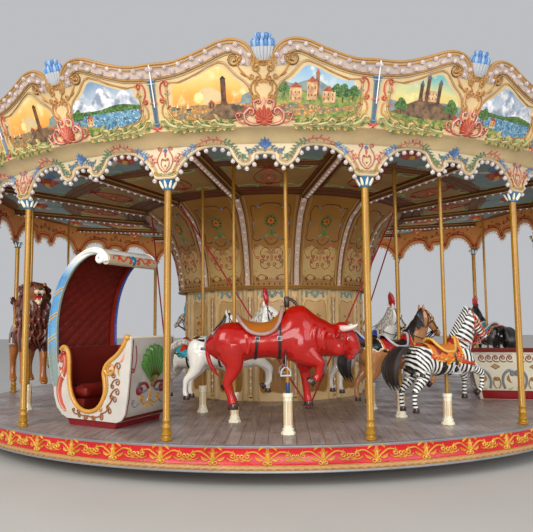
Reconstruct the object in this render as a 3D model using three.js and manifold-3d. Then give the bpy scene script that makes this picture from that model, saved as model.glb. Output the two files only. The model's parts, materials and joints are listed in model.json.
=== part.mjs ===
// Fairground carousel: fourteen bays, jumping figures on poles and two seated chariots.
// Millimetres, +Z up. The origin is on the ground under the centre mast.
// Azimuth 0 is the front bay, towards -Y, and azimuths grow towards +X, the way the figures face.
import * as THREE from 'three';
import { mergeVertices } from 'three/addons/utils/BufferGeometryUtils.js';
import Module from 'manifold-3d';

const wasm = await Module();
wasm.setup();

// Driving dimensions
const bayCount = 14;
const bayAngle = (2 * Math.PI) / bayCount;
const deckTop = 420;
const deckThickness = 40;
const deckRadius = 4800;
const rimRadius = 4850;
const rimBottom = 150;
const poleCircle = 4700;
const seat = 0.3;
const facets = bayCount * 3;

// Fixed base and mast
const beamHeight = 130;
const beamWidth = 200;
const beamReach = 3500;
const mastRadius = 230;
const mastTop = 5240;
const mastFlangeRadius = 600;
const mastFlangeHeight = 30;
const boreRadius = 262;

// Machine drum and cove around the mast, heights above the deck
const drumRadius = 1550;
const drumHeight = 1750;
const coveLip = 1600;
const coveProfile = [
  [1700, 1718], [1680, 1760], [1700, 2000], [1760, 2300], [1870, 2600], [1980, 2800], [2280, 3050],
];

// Ceiling and sweeps, heights above the deck
const ceilingFlatRadius = 2300;
const ceilingRadius = 4744.3;
const ceilingInnerHeight = 3050.6;
const ceilingOuterHeight = 3300;
const ceilingThickness = 30;
const sweepWidth = 110;
const sweepDepth = 64;
const sweepEndGap = 1.2;
const crankHoleRadius = 34;

// Outer poles, heights above the deck; the panels rest on their caps at the seams
const panelSeamFoot = 2710;
const poleRadius = 37;
const capHeight = 2600;
const capTop = panelSeamFoot - seat;

// Bay panels: scalloped valance, flared cornice and leaning rounding board, heights above the deck
const valanceRadius = 4775;
const valanceTop = 3050;
const boardFootRadius = 4950;
const boardFootHeight = 3170;
const boardLean = 0.4;
const panelThickness = 30;
// Each row: distance from the bay centre in bays, height of the lower edge, height of the crest
const panelOutline = [
  [0.5, panelSeamFoot, 3800], [0.43, 2745, 3795], [0.395, 2900, 3797], [0.3, 3020, 3848], [0.19, 3005, 3935],
  [0.15, 2890, 3950], [0.105, 2812, 3943], [0.055, 2850, 3870], [0, 2939, 3790],
];
const finialFoot = 3760;
const finialProfile = [[0, 0], [60, 0], [115, 170], [60, 262], [0, 268]];

// Roof, absolute heights
const eaveRadius = 5133.5;
const eaveHeight = 4125;
const roofThickness = 25;
const roofOpening = 330;
const roofRidge = 5350;
const crownProfile = [[0, 0], [430, 0], [400, 70], [150, 190], [60, 230], [90, 290], [60, 350], [0, 380]];

// Figures and the columns that guide their poles
const riderPoleRadius = 22;
const poleAboveCeiling = 50;
const poleAboveFloor = 20;
const columnRadius = 56;
const columnFlange = 78;
const columnSides = 8;
const columnBore = (riderPoleRadius + seat) / Math.cos(Math.PI / columnSides);
const columnFloor = 40;

const brass = { color: 0xd9a441, roughness: 0.35, metalness: 0.6 };
const cream = { color: 0xe8d6a4, roughness: 0.5, metalness: 0 };
const steel = { color: 0x8a8d90, roughness: 0.45, metalness: 0.8 };

// Geometry helpers

// Merges the corners of a closed shape, drops collapsed faces and turns its faces outwards.
function closed(geometry) {
  const bare = geometry.clone();
  bare.deleteAttribute('normal');
  bare.deleteAttribute('uv');
  const merged = mergeVertices(bare, 1e-3);
  const place = merged.getAttribute('position');
  const corners = [0, 1, 2].map(() => new THREE.Vector3());
  const kept = [];
  let volume = 0;
  for (let i = 0; i < merged.index.count; i += 3) {
    const face = [0, 1, 2].map((k) => merged.index.getX(i + k));
    if (face[0] === face[1] || face[1] === face[2] || face[2] === face[0]) {
      continue;
    }
    kept.push(face);
    face.forEach((vertex, k) => corners[k].fromBufferAttribute(place, vertex));
    volume += corners[0].dot(corners[1].clone().cross(corners[2]));
  }
  const faces = volume < 0 ? kept.map(([a, b, c]) => [a, c, b]) : kept;
  merged.setIndex(faces.flat());
  return merged;
}

function solid(geometry) {
  const shape = closed(geometry);
  return new wasm.Manifold(new wasm.Mesh({
    numProp: 3,
    vertProperties: new Float32Array(shape.getAttribute('position').array),
    triVerts: new Uint32Array(shape.index.array),
  }));
}

function fromSolid(body) {
  const data = body.getMesh();
  const geometry = new THREE.BufferGeometry();
  geometry.setAttribute('position', new THREE.BufferAttribute(new Float32Array(data.vertProperties), 3));
  geometry.setIndex(Array.from(data.triVerts));
  return geometry;
}

function join(geometries) {
  return fromSolid(geometries.map(solid).reduce((whole, next) => whole.add(next)));
}

function cut(geometry, tools) {
  return fromSolid(tools.map(solid).reduce((whole, tool) => whole.subtract(tool), solid(geometry)));
}

// Revolves [radius, height] points about Z, with its first facet corner at azimuth 0.
function turned(profile, segments) {
  const points = profile.map(([radius, height]) => new THREE.Vector2(radius, height));
  return closed(new THREE.LatheGeometry(points, segments).rotateX(Math.PI / 2));
}

function turnedRing(profile, segments) {
  return turned([...profile, profile[0]], segments);
}

// Extrudes an [x, z] outline across Y, from yLow to yHigh.
function profileSolid(outline, yLow, yHigh) {
  const shape = new THREE.Shape(outline.map(([x, z]) => new THREE.Vector2(x, z)));
  const block = new THREE.ExtrudeGeometry(shape, { depth: yHigh - yLow, bevelEnabled: false });
  return block.rotateX(Math.PI / 2).translate(0, yHigh, 0);
}

function box(low, high) {
  const size = high.map((value, i) => value - low[i]);
  const middle = high.map((value, i) => (value + low[i]) / 2);
  return new THREE.BoxGeometry(...size).translate(...middle);
}

// A limb through [x, y, z, half width, half height] stations, in millimetres, flat at both ends.
function limb(stations, sides = 4) {
  const last = stations.length - 1;
  const tube = new THREE.CylinderGeometry(1, 1, 1, sides, last);
  const place = tube.getAttribute('position');
  const at = stations.map(([x, y, z]) => new THREE.Vector3(x, y, z));
  for (let i = 0; i < place.count; i += 1) {
    const k = Math.round((0.5 - place.getY(i)) * last);
    const along = at[Math.min(k + 1, last)].clone().sub(at[Math.max(k - 1, 0)]).normalize();
    const guide = Math.abs(along.y) > 0.9 ? new THREE.Vector3(0, 0, 1) : new THREE.Vector3(0, 1, 0);
    const across = guide.addScaledVector(along, -guide.dot(along)).normalize();
    const up = across.clone().cross(along);
    const vertex = at[k].clone();
    vertex.addScaledVector(across, place.getX(i) * stations[k][3]);
    vertex.addScaledVector(up, place.getZ(i) * stations[k][4]);
    place.setXYZ(i, vertex.x, vertex.y, vertex.z);
  }
  return tube;
}

function addMesh(parent, name, geometry, finish) {
  const mesh = new THREE.Mesh(geometry, new THREE.MeshStandardMaterial(finish));
  mesh.name = name;
  parent.add(mesh);
  return mesh;
}

// A group at a radius and azimuth on the deck, with its +X the way the carousel turns.
function deckPlace(parent, radius, azimuth) {
  const group = new THREE.Group();
  group.position.set(radius * Math.sin(azimuth), -radius * Math.cos(azimuth), deckTop);
  group.rotation.z = azimuth;
  parent.add(group);
  return group;
}

const twoDigits = (number) => String(number).padStart(2, '0');
const degrees = Math.PI / 180;

// Fixed base

function buildBase(parent) {
  const half = beamWidth / 2;
  addMesh(parent, 'base_beam_long', box([-beamReach, -half, 0], [beamReach, half, beamHeight]), steel);
  addMesh(parent, 'base_beam_front', box([-half, -beamReach, 0], [half, -half - seat, beamHeight]), steel);
  addMesh(parent, 'base_beam_back', box([-half, half + seat, 0], [half, beamReach, beamHeight]), steel);
  const foot = beamHeight + seat;
  const collar = deckTop - deckThickness - seat;
  const mast = turned([
    [0, foot], [mastFlangeRadius, foot], [mastFlangeRadius, foot + mastFlangeHeight],
    [mastRadius, foot + mastFlangeHeight], [mastRadius, collar - mastFlangeHeight],
    [mastFlangeRadius, collar - mastFlangeHeight], [mastFlangeRadius, collar],
    [mastRadius, collar], [mastRadius, mastTop], [0, mastTop],
  ], bayCount);
  addMesh(parent, 'centre_mast', mast, steel);
}

// Turning platform and centre

function buildPlatform(parent) {
  const deck = turnedRing([
    [boreRadius, deckTop - deckThickness], [deckRadius, deckTop - deckThickness],
    [deckRadius, deckTop], [boreRadius, deckTop],
  ], facets);
  addMesh(parent, 'deck', deck, { color: 0x7a4a38, roughness: 0.6, metalness: 0 });
  const rim = turnedRing([
    [deckRadius + seat, rimBottom], [rimRadius, rimBottom], [rimRadius, deckTop],
    [deckRadius + seat, deckTop],
  ], facets);
  addMesh(parent, 'deck_rim', rim, { color: 0xc8202a, roughness: 0.4, metalness: 0 });
  const drumFoot = deckTop + seat;
  const drumHead = deckTop + drumHeight;
  const drum = turnedRing([
    [boreRadius, drumFoot], [drumRadius, drumFoot], [drumRadius, drumHead], [boreRadius, drumHead],
  ], bayCount * 2);
  addMesh(parent, 'drum', drum, cream);
  const flare = coveProfile.map(([radius, height]) => [radius, deckTop + height]);
  const coveFoot = drumHead + seat;
  const cove = turnedRing([
    [boreRadius, coveFoot], [coveLip, coveFoot], [coveLip, flare[0][1]], ...flare,
    [boreRadius, deckTop + coveProfile.at(-1)[1]],
  ], bayCount * 2);
  addMesh(parent, 'cove', cove, { color: 0xb79a52, roughness: 0.5, metalness: 0 });
}

// Height above the deck of the ceiling's underside.
function ceilingHeight(radius) {
  const rise = (ceilingOuterHeight - ceilingInnerHeight) / (ceilingRadius - ceilingFlatRadius);
  return ceilingInnerHeight + rise * Math.max(radius - ceilingFlatRadius, 0);
}

function buildCeiling(parent, figurePlaces) {
  const low = deckTop + ceilingInnerHeight;
  const high = deckTop + ceilingOuterHeight;
  const sweepFoot = ceilingHeight(boardFootRadius) - sweepDepth;
  const sweepHead = ceilingHeight(boardFootRadius) + ceilingThickness / 2;
  const sweepReach = (height) => panelRadius(height) - panelThickness - sweepEndGap;
  const panel = turnedRing([
    [boreRadius, low], [ceilingFlatRadius, low], [ceilingRadius, high],
    [ceilingRadius, high + ceilingThickness], [ceilingFlatRadius, low + ceilingThickness],
    [boreRadius, low + ceilingThickness],
  ], facets);
  const side = [
    [ceilingFlatRadius, low + ceilingThickness / 2], [ceilingFlatRadius, low - sweepDepth],
    [sweepReach(sweepFoot), deckTop + sweepFoot], [sweepReach(sweepHead), deckTop + sweepHead],
  ];
  const sweeps = [];
  for (let bay = 0; bay < bayCount; bay += 1) {
    const sweep = profileSolid(side, -sweepWidth / 2, sweepWidth / 2);
    sweeps.push(sweep.rotateZ((bay + 0.5) * bayAngle - Math.PI / 2));
  }
  const holes = figurePlaces.map(([radius, azimuth]) => {
    const hole = new THREE.CylinderGeometry(crankHoleRadius, crankHoleRadius, 900, 10);
    hole.rotateX(Math.PI / 2);
    return hole.translate(radius * Math.sin(azimuth), -radius * Math.cos(azimuth), low);
  });
  const ceiling = cut(join([panel, ...sweeps]), holes);
  addMesh(parent, 'ceiling', ceiling, { color: 0xb08a52, roughness: 0.6, metalness: 0 });
}

function buildRoof(parent) {
  const slope = (roofRidge - eaveHeight - roofThickness) / (eaveRadius - roofOpening);
  const ridgeBelow = eaveHeight + slope * (eaveRadius - roofOpening);
  const cover = turnedRing([
    [eaveRadius, eaveHeight], [eaveRadius, eaveHeight + roofThickness],
    [roofOpening, ridgeBelow + roofThickness], [roofOpening, ridgeBelow],
  ], bayCount).rotateZ(bayAngle / 2);
  addMesh(parent, 'roof_cover', cover, { color: 0xe9e2cc, roughness: 0.8, metalness: 0 });
  const crown = turned(crownProfile.map(([r, z]) => [r, z + roofRidge + seat]), bayCount);
  addMesh(parent, 'roof_crown', crown, brass);
}

function buildPoles(parent) {
  const poleTop = ceilingHeight(poleCircle - poleRadius) - sweepDepth - seat;
  const profile = [
    [0, seat], [62, seat], [62, 18], [42, 26], [54, 235], [poleRadius, 262],
    [poleRadius, capHeight], [76, 2690], [76, capTop], [poleRadius, capTop],
    [poleRadius, poleTop], [0, poleTop],
  ];
  const pole = turned(profile, 6);
  for (let bay = 0; bay < bayCount; bay += 1) {
    const place = deckPlace(parent, poleCircle, (bay + 0.5) * bayAngle);
    addMesh(place, `outer_pole_${twoDigits(bay + 1)}`, pole, brass);
  }
}

// Bay panels

function panelRadius(height) {
  if (height <= valanceTop) {
    return valanceRadius;
  }
  return boardFootRadius + boardLean * (height - boardFootHeight);
}

function panelPair() {
  const half = panelOutline.map(([distance, foot, crest]) => [-distance, foot, crest]);
  const bay = [...half, ...half.slice(0, -1).reverse().map(([d, foot, crest]) => [-d, foot, crest])];
  const columns = [...bay, ...bay.slice(1).map(([d, foot, crest]) => [d + 1, foot, crest])];
  const sheet = new THREE.BoxGeometry(1, 1, 1, columns.length - 1, 3, 1);
  const place = sheet.getAttribute('position');
  const jointHalf = seat / valanceRadius;
  for (let i = 0; i < place.count; i += 1) {
    const [distance, foot, crest] = columns[Math.round((place.getX(i) + 0.5) * (columns.length - 1))];
    const row = Math.round((place.getY(i) + 0.5) * 3);
    const height = [foot, valanceTop, boardFootHeight, crest][row];
    const radius = panelRadius(height) - (place.getZ(i) < 0 ? panelThickness : 0);
    const azimuth = THREE.MathUtils.clamp(
      distance * bayAngle, -0.5 * bayAngle + jointHalf, 1.5 * bayAngle - jointHalf,
    );
    place.setXYZ(i, radius * Math.sin(azimuth), -radius * Math.cos(azimuth), deckTop + height);
  }
  const finials = [0, 1].map((bays) => {
    const finial = turned(finialProfile, 6).scale(1, 0.5, 1);
    finial.translate(0, -panelRadius(finialFoot) + panelThickness / 2, deckTop + finialFoot);
    return finial.rotateZ(bays * bayAngle);
  });
  return join([sheet, ...finials]);
}

function buildPanels(parent) {
  const pair = panelPair();
  for (let k = 0; k < bayCount / 2; k += 1) {
    const mesh = addMesh(parent, `bay_panels_${k + 1}`, pair, cream);
    mesh.rotation.z = 2 * k * bayAngle;
  }
}

// Chariots

const chariotTaper = 0.2;
const chariotHalfWidth = 450;
const wallThickness = 50;

// Narrows the shell chariot towards the centre of the carousel.
function tapered(geometry) {
  const place = geometry.getAttribute('position');
  for (let i = 0; i < place.count; i += 1) {
    const inward = (place.getY(i) + chariotHalfWidth) / (2 * chariotHalfWidth);
    place.setX(i, place.getX(i) * (1 - chariotTaper * inward));
  }
  return geometry;
}

function buildShellChariot(parent) {
  const place = deckPlace(parent, 3850, -30 * degrees);
  const width = chariotHalfWidth;
  const hullBack = 444;
  const hoodFoot = hullBack + seat;
  const hood = profileSolid([
    [-600, hoodFoot], [-665, 640], [-705, 850], [-715, 1080], [-690, 1320], [-610, 1580], [-480, 1800],
    [-300, 1980], [-100, 2080], [60, 2113], [190, 2085], [285, 2010], [318, 1920], [280, 1868],
    [215, 1890], [200, 1960], [110, 2030], [-60, 2015], [-250, 1910], [-400, 1740], [-510, 1530],
    [-565, 1300], [-575, 1080], [-560, 850], [-525, 640], [-500, hoodFoot],
  ], -width, width);
  addMesh(place, 'chariot_hood', tapered(closed(hood)), { color: 0x6fb0dc, roughness: 0.4, metalness: 0 });
  const hull = profileSolid([
    [-340, seat], [440, seat], [600, 170], [660, 550], [700, 1030], [620, 1035], [450, 800], [285, 665],
    [-340, 660], [-365, 930], [-470, 930], [-490, hullBack], [-600, hullBack], [-530, 200],
  ], -width, width);
  const well = profileSolid([
    [-440, 1200], [-440, 300], [-320, 150], [420, 150], [550, 270], [605, 600], [635, 1200],
  ], -width + wallThickness, width - wallThickness);
  const entrance = profileSolid([
    [-355, 1200], [-335, 520], [-200, 260], [60, 175], [220, 260], [300, 430], [270, 620], [270, 1200],
  ], -width - 10, -width + 60);
  const tub = tapered(cut(hull, [well, entrance]));
  addMesh(place, 'chariot_tub', tub, { color: 0xf1ead8, roughness: 0.45, metalness: 0 });
  const side = width - wallThickness - seat;
  const bench = closed(box([-425, -side, 305], [-90, side, 480]));
  addMesh(place, 'chariot_seat', tapered(bench), { color: 0x6a1512, roughness: 0.8, metalness: 0 });
}

// The bench chariot's side walls lean out, and its hull is the meeting of two upright prisms.
const benchHalfWidth = 660;
const benchHeight = 710;
const benchLean = 150;
const benchFloor = 140;

function benchSide(height) {
  return benchHalfWidth - benchLean * (1 - height / benchHeight);
}

function acrossSolid(low, high, inset, reach) {
  const outline = [[-1, low], [1, low], [1, high], [-1, high]];
  const section = outline.map(([side, z]) => [side * (benchSide(z) - inset), z]);
  return profileSolid(section, -reach, reach).rotateZ(Math.PI / 2);
}

function buildBenchChariot(parent) {
  const place = deckPlace(parent, 3900, 78 * degrees);
  const side = benchHalfWidth;
  const above = 900;
  const along = profileSolid([
    [-660, seat], [660, seat], [690, benchFloor], [735, 450], [740, benchHeight], [-740, benchHeight],
    [-735, 450], [-690, benchFloor],
  ], -side, side);
  const hull = fromSolid(solid(along).intersect(solid(acrossSolid(0, above, 0, side * 2))));
  const room = profileSolid([
    [-650, benchFloor], [650, benchFloor], [685, 450], [690, above], [-690, above], [-685, 450],
  ], -side, side);
  const inside = acrossSolid(benchFloor, above, wallThickness, side * 2);
  const well = fromSolid(solid(room).intersect(solid(inside)));
  const doorway = [[180, benchFloor], [560, benchFloor], [560, above], [180, above]];
  const entrance = profileSolid(doorway, -side - 10, -benchSide(0) + wallThickness + 60);
  const tub = cut(hull, [well, entrance]);
  addMesh(place, 'bench_tub', tub, { color: 0xe9dfc4, roughness: 0.5, metalness: 0 });
  const seatSide = benchSide(benchFloor) - wallThickness - seat;
  const bench = closed(box([-645, -seatSide, benchFloor + seat], [-290, seatSide, 430]));
  addMesh(place, 'bench_seat', bench, { color: 0x8a1f1c, roughness: 0.8, metalness: 0 });
}

// Figures, each with its pole as one rigid piece, [x, y, z] from the pole at deck level

const mirrored = (stations) => stations.map(([x, y, z, a, b]) => [x, -y, z, a, b]);

// The pole reaches from inside its column to its crank above the ceiling, also when it is fully down.
function riderPole(radius, drop) {
  const foot = columnFloor + poleAboveFloor + drop;
  const length = ceilingHeight(radius) + ceilingThickness + poleAboveCeiling + drop - foot;
  const pole = new THREE.CylinderGeometry(riderPoleRadius, riderPoleRadius, length, 6);
  return pole.rotateX(Math.PI / 2).translate(0, 0, foot + length / 2);
}

function bullShape() {
  const trunk = limb([
    [-845, 0, 1000, 50, 50], [-790, 0, 990, 150, 170], [-620, 0, 980, 205, 235], [-400, 0, 980, 220, 200],
    [-200, 0, 985, 225, 190], [40, 0, 1022, 230, 290], [130, 0, 1040, 230, 350], [280, 0, 1030, 200, 250],
    [440, 0, 1000, 155, 180], [600, 0, 990, 130, 172], [700, 0, 930, 100, 120], [745, 0, 860, 70, 70],
  ], 8);
  const hindLeg = [
    [-600, 120, 960, 110, 140], [-575, 125, 740, 80, 100], [-650, 130, 560, 48, 52],
    [-600, 130, 380, 42, 46], [-580, 130, 330, 52, 56],
  ];
  const bentLeg = [
    [160, -140, 900, 95, 130], [335, -150, 765, 62, 70], [305, -150, 610, 42, 46], [235, -150, 545, 48, 52],
  ];
  const straightLeg = [
    [160, 140, 900, 95, 130], [210, 150, 620, 58, 66], [225, 150, 350, 42, 46], [235, 150, 300, 50, 54],
  ];
  const horn = [
    [640, 70, 1110, 45, 45], [660, 190, 1120, 40, 40], [730, 250, 1165, 25, 25], [775, 250, 1190, 8, 8],
  ];
  const saddle = limb([
    [-530, 0, 1255, 110, 30], [-390, 0, 1180, 205, 45], [-190, 0, 1170, 215, 40], [-75, 0, 1290, 165, 55],
    [-40, 0, 1370, 110, 30],
  ], 6);
  const tail = limb([
    [-820, 0, 1080, 24, 24], [-890, 0, 900, 22, 22], [-860, 0, 720, 20, 20], [-790, 0, 590, 12, 12],
  ]);
  return [
    trunk, limb(hindLeg), limb(mirrored(hindLeg)), limb(bentLeg), limb(straightLeg),
    limb(horn), limb(mirrored(horn)), saddle, tail,
  ];
}

function horseShape() {
  const trunk = limb([
    [-560, 0, 1000, 70, 80], [-490, 0, 1000, 150, 165], [-350, 0, 980, 172, 190], [-120, 0, 955, 165, 165],
    [110, 0, 965, 165, 180], [270, 0, 1000, 150, 185], [350, 0, 1020, 90, 130],
  ], 8);
  const neck = limb([[190, 0, 1050, 115, 165], [310, 0, 1230, 80, 135], [430, 0, 1475, 42, 60]], 6);
  const head = limb([[370, 0, 1475, 50, 70], [480, 0, 1420, 54, 78], [640, 0, 1230, 32, 36]], 6);
  const hindLeg = [
    [-430, 95, 940, 85, 115], [-470, 105, 760, 60, 72], [-570, 110, 650, 38, 42], [-590, 110, 420, 40, 44],
  ];
  const bentLeg = [
    [260, -90, 920, 70, 90], [440, -110, 820, 50, 52], [455, -110, 660, 34, 36], [380, -110, 570, 40, 42],
  ];
  const longLeg = [[250, 90, 920, 70, 90], [400, 110, 750, 46, 50], [395, 110, 500, 40, 42]];
  const saddle = limb([[-250, 0, 1190, 110, 26], [-60, 0, 1122, 180, 36], [110, 0, 1190, 90, 24]], 6);
  const tail = limb([[-530, 0, 1070, 36, 36], [-700, 0, 1000, 48, 48], [-740, 0, 660, 24, 24]]);
  return [
    trunk, neck, head, limb(hindLeg), limb(mirrored(hindLeg)), limb(bentLeg), limb(longLeg), saddle, tail,
  ];
}

function lionShape() {
  const trunk = limb([
    [-700, 0, 1000, 70, 80], [-620, 0, 1000, 160, 180], [-420, 0, 980, 190, 205], [-150, 0, 970, 190, 190],
    [120, 0, 1000, 200, 220], [280, 0, 1060, 170, 220],
  ], 8);
  const mane = limb([
    [150, 0, 1120, 190, 260], [300, 0, 1260, 225, 340], [400, 0, 1440, 215, 290], [440, 0, 1550, 130, 150],
  ], 8);
  const bib = limb([
    [390, 0, 1400, 150, 130], [400, 0, 1180, 175, 130], [370, 0, 960, 125, 100], [320, 0, 740, 40, 40],
  ], 8);
  const head = limb([
    [370, 0, 1530, 110, 120], [530, 0, 1530, 115, 125], [650, 0, 1510, 75, 95],
  ], 6);
  const hindLeg = [
    [-500, 110, 950, 100, 130], [-520, 120, 720, 70, 85], [-600, 120, 540, 48, 52],
    [-570, 120, 350, 46, 50], [-530, 120, 310, 60, 50],
  ];
  const frontLeg = [
    [230, 120, 960, 90, 110], [330, 130, 700, 62, 66], [350, 130, 440, 50, 54], [400, 130, 330, 62, 52],
  ];
  const saddle = limb([
    [-300, 0, 1200, 120, 26], [-160, 0, 1140, 205, 40], [0, 0, 1150, 200, 38], [80, 0, 1210, 110, 24],
  ], 6);
  const tail = limb([
    [-670, 0, 1050, 30, 30], [-760, 0, 1100, 26, 26], [-800, 0, 1260, 24, 24], [-780, 0, 1400, 24, 24],
    [-800, 0, 1500, 46, 46],
  ]);
  return [
    trunk, mane, bib, head, limb(hindLeg), limb(mirrored(hindLeg)), limb(frontLeg), limb(mirrored(frontLeg)),
    saddle, tail,
  ];
}

// Each figure: name, shape, pole circle, azimuth in degrees, lift of the body at rest,
// how far it can still go down, column height and colour
const figures = [
  ['bull', bullShape, 4250, 2.8, 0, 160, 440, 0xc8160e],
  ['zebra', horseShape, 4200, 29.6, -230, 10, 360, 0xf0f0ee],
  ['lion', lionShape, 4150, -57, 90, 200, 360, 0x7a3a1c],
  ['brown_horse', horseShape, 3500, 27.9, -190, 50, 360, 0xc98a55],
  ['white_horse', horseShape, 3450, -7.3, -140, 100, 360, 0xf2efe6],
  ['teal_horse', horseShape, 2745, -20, -230, 10, 360, 0xe8e4da],
  ['plumed_horse', horseShape, 2750, 30, -150, 90, 360, 0xf2efe6],
  ['black_horse', horseShape, 4200, 102.9, -60, 180, 360, 0x1c1a1a],
  ['chestnut_horse', horseShape, 4200, 154.3, -200, 40, 360, 0x8a4a28],
  ['grey_horse', horseShape, 4200, -154.3, -90, 150, 360, 0xb9b6b0],
  ['palomino_horse', horseShape, 4200, -102.9, -170, 70, 360, 0xd8b27a],
];

function buildColumn(place, name, height) {
  const tube = turned([
    [0, seat], [columnFlange, seat], [columnFlange, 22], [columnRadius, 26], [columnRadius, height],
    [columnBore, height], [columnBore, columnFloor], [0, columnFloor],
  ], columnSides);
  addMesh(place, `${name}_column`, tube, { color: 0xf4efd9, roughness: 0.4, metalness: 0 });
}

function buildFigure(parent, [name, shape, radius, azimuth, lift, drop, column, color]) {
  const place = deckPlace(parent, radius, azimuth * degrees);
  buildColumn(place, name, column);
  const parts = shape().map((piece) => piece.translate(0, 0, lift));
  addMesh(place, name, join([riderPole(radius, drop), ...parts]), { color, roughness: 0.3, metalness: 0 });
}

const carousel = new THREE.Group();
buildBase(carousel);
buildPlatform(carousel);
buildCeiling(carousel, figures.map(([, , radius, azimuth]) => [radius, azimuth * degrees]));
buildRoof(carousel);
buildPoles(carousel);
buildPanels(carousel);
buildShellChariot(carousel);
buildBenchChariot(carousel);
figures.forEach((figure) => buildFigure(carousel, figure));

export default carousel;
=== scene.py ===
# Fairground carousel: the looks of every piece, in metres, in the frame's own axes.
# Heights called "above the deck" start at deck_top. Azimuth 0 is the front bay, towards -Y.
import json
import math

import bpy
import numpy as np
from mathutils import Matrix, Vector
from mathutils.bvhtree import BVHTree

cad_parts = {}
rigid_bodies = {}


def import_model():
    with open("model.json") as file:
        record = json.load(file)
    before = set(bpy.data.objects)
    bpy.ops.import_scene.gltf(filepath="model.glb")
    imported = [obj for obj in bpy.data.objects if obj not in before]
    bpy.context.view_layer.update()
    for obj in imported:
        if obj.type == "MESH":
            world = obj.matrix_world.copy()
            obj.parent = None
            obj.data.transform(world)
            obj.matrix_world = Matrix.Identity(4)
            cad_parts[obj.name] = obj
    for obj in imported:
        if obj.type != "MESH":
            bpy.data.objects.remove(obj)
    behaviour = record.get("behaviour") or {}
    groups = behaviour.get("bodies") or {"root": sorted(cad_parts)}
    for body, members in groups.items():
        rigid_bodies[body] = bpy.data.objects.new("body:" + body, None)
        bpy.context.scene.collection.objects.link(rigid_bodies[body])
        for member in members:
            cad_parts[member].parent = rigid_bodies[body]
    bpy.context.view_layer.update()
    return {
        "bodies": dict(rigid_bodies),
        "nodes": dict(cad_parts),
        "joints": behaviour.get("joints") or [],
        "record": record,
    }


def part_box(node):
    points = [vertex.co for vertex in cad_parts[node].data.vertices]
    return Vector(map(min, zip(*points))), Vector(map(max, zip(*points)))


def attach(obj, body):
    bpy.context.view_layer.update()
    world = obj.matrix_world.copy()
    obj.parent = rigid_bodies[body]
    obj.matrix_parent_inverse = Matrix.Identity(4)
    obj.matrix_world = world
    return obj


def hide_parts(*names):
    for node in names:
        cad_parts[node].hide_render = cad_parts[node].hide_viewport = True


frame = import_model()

# Driving sizes
deck_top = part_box("deck")[1].z
rim_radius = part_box("deck_rim")[1].x
bay_count = 14
bay_turn = 2 * math.pi / bay_count
pole_circle = 4.70
valance_radius = 4.775
board_radius = 4.95
board_foot = 3.17
board_lean = 0.4
panel_thickness = 0.03
board_arc = 5.0
board_pitch = bay_turn * board_arc
valance_pitch = bay_turn * valance_radius
drum_radius = 1.55
ceiling_flat_radius = 2.3
ceiling_radius = 4.7443
ceiling_inner = 3.0506
ceiling_outer = 3.3
sweep_depth = 0.064

# Roughness of most paints
SOFT, HALF = 0.6, 0.42


# Mesh kit

def quads(rows, cols, loop_rows=False, loop_cols=False):
    faces = []
    for i in range(rows if loop_rows else rows - 1):
        for j in range(cols if loop_cols else cols - 1):
            a, b = i * cols, ((i + 1) % rows) * cols
            k = (j + 1) % cols
            faces.append((a + j, a + k, b + k, b + j))
    return faces


def full_turn(count):
    """That many equal turns round a circle."""
    return np.arange(count) * 2 * math.pi / count


def on_circle(radius, turn, height):
    """Rows of x, y and z at a radius and a turn from the front bay."""
    return np.column_stack([radius * np.sin(turn), -radius * np.cos(turn), height])


def on_ring(radius, turn, height):
    """One point at a radius, a turn from the front bay and a height above the deck."""
    return radius * math.sin(turn), -radius * math.cos(turn), deck_top + height


def towards(x, y, heading, size):
    return x + size * math.cos(heading), y + size * math.sin(heading)


def looped(line):
    return np.vstack([line, line[:1]])


def lengths_along(line):
    """The distance from a line's start to each of its points."""
    return np.concatenate([[0], np.cumsum(np.linalg.norm(np.diff(line, axis=0), axis=1))])


def sizes_along(line, shares, sizes):
    """A size for each point of a line, from the sizes at some shares of its points."""
    return np.interp(np.linspace(0, 1, len(line)), shares, sizes)


def border(grid):
    """The points round a grid's edge."""
    return np.vstack([grid[0], grid[1:, -1], grid[-1][-2::-1], grid[-2:0:-1, 0]])


def unit_normals(line):
    along = np.gradient(line, axis=0)
    along /= np.maximum(np.linalg.norm(along, axis=1), 1e-9)[:, None]
    return np.column_stack([-along[:, 1], along[:, 0]])


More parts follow.
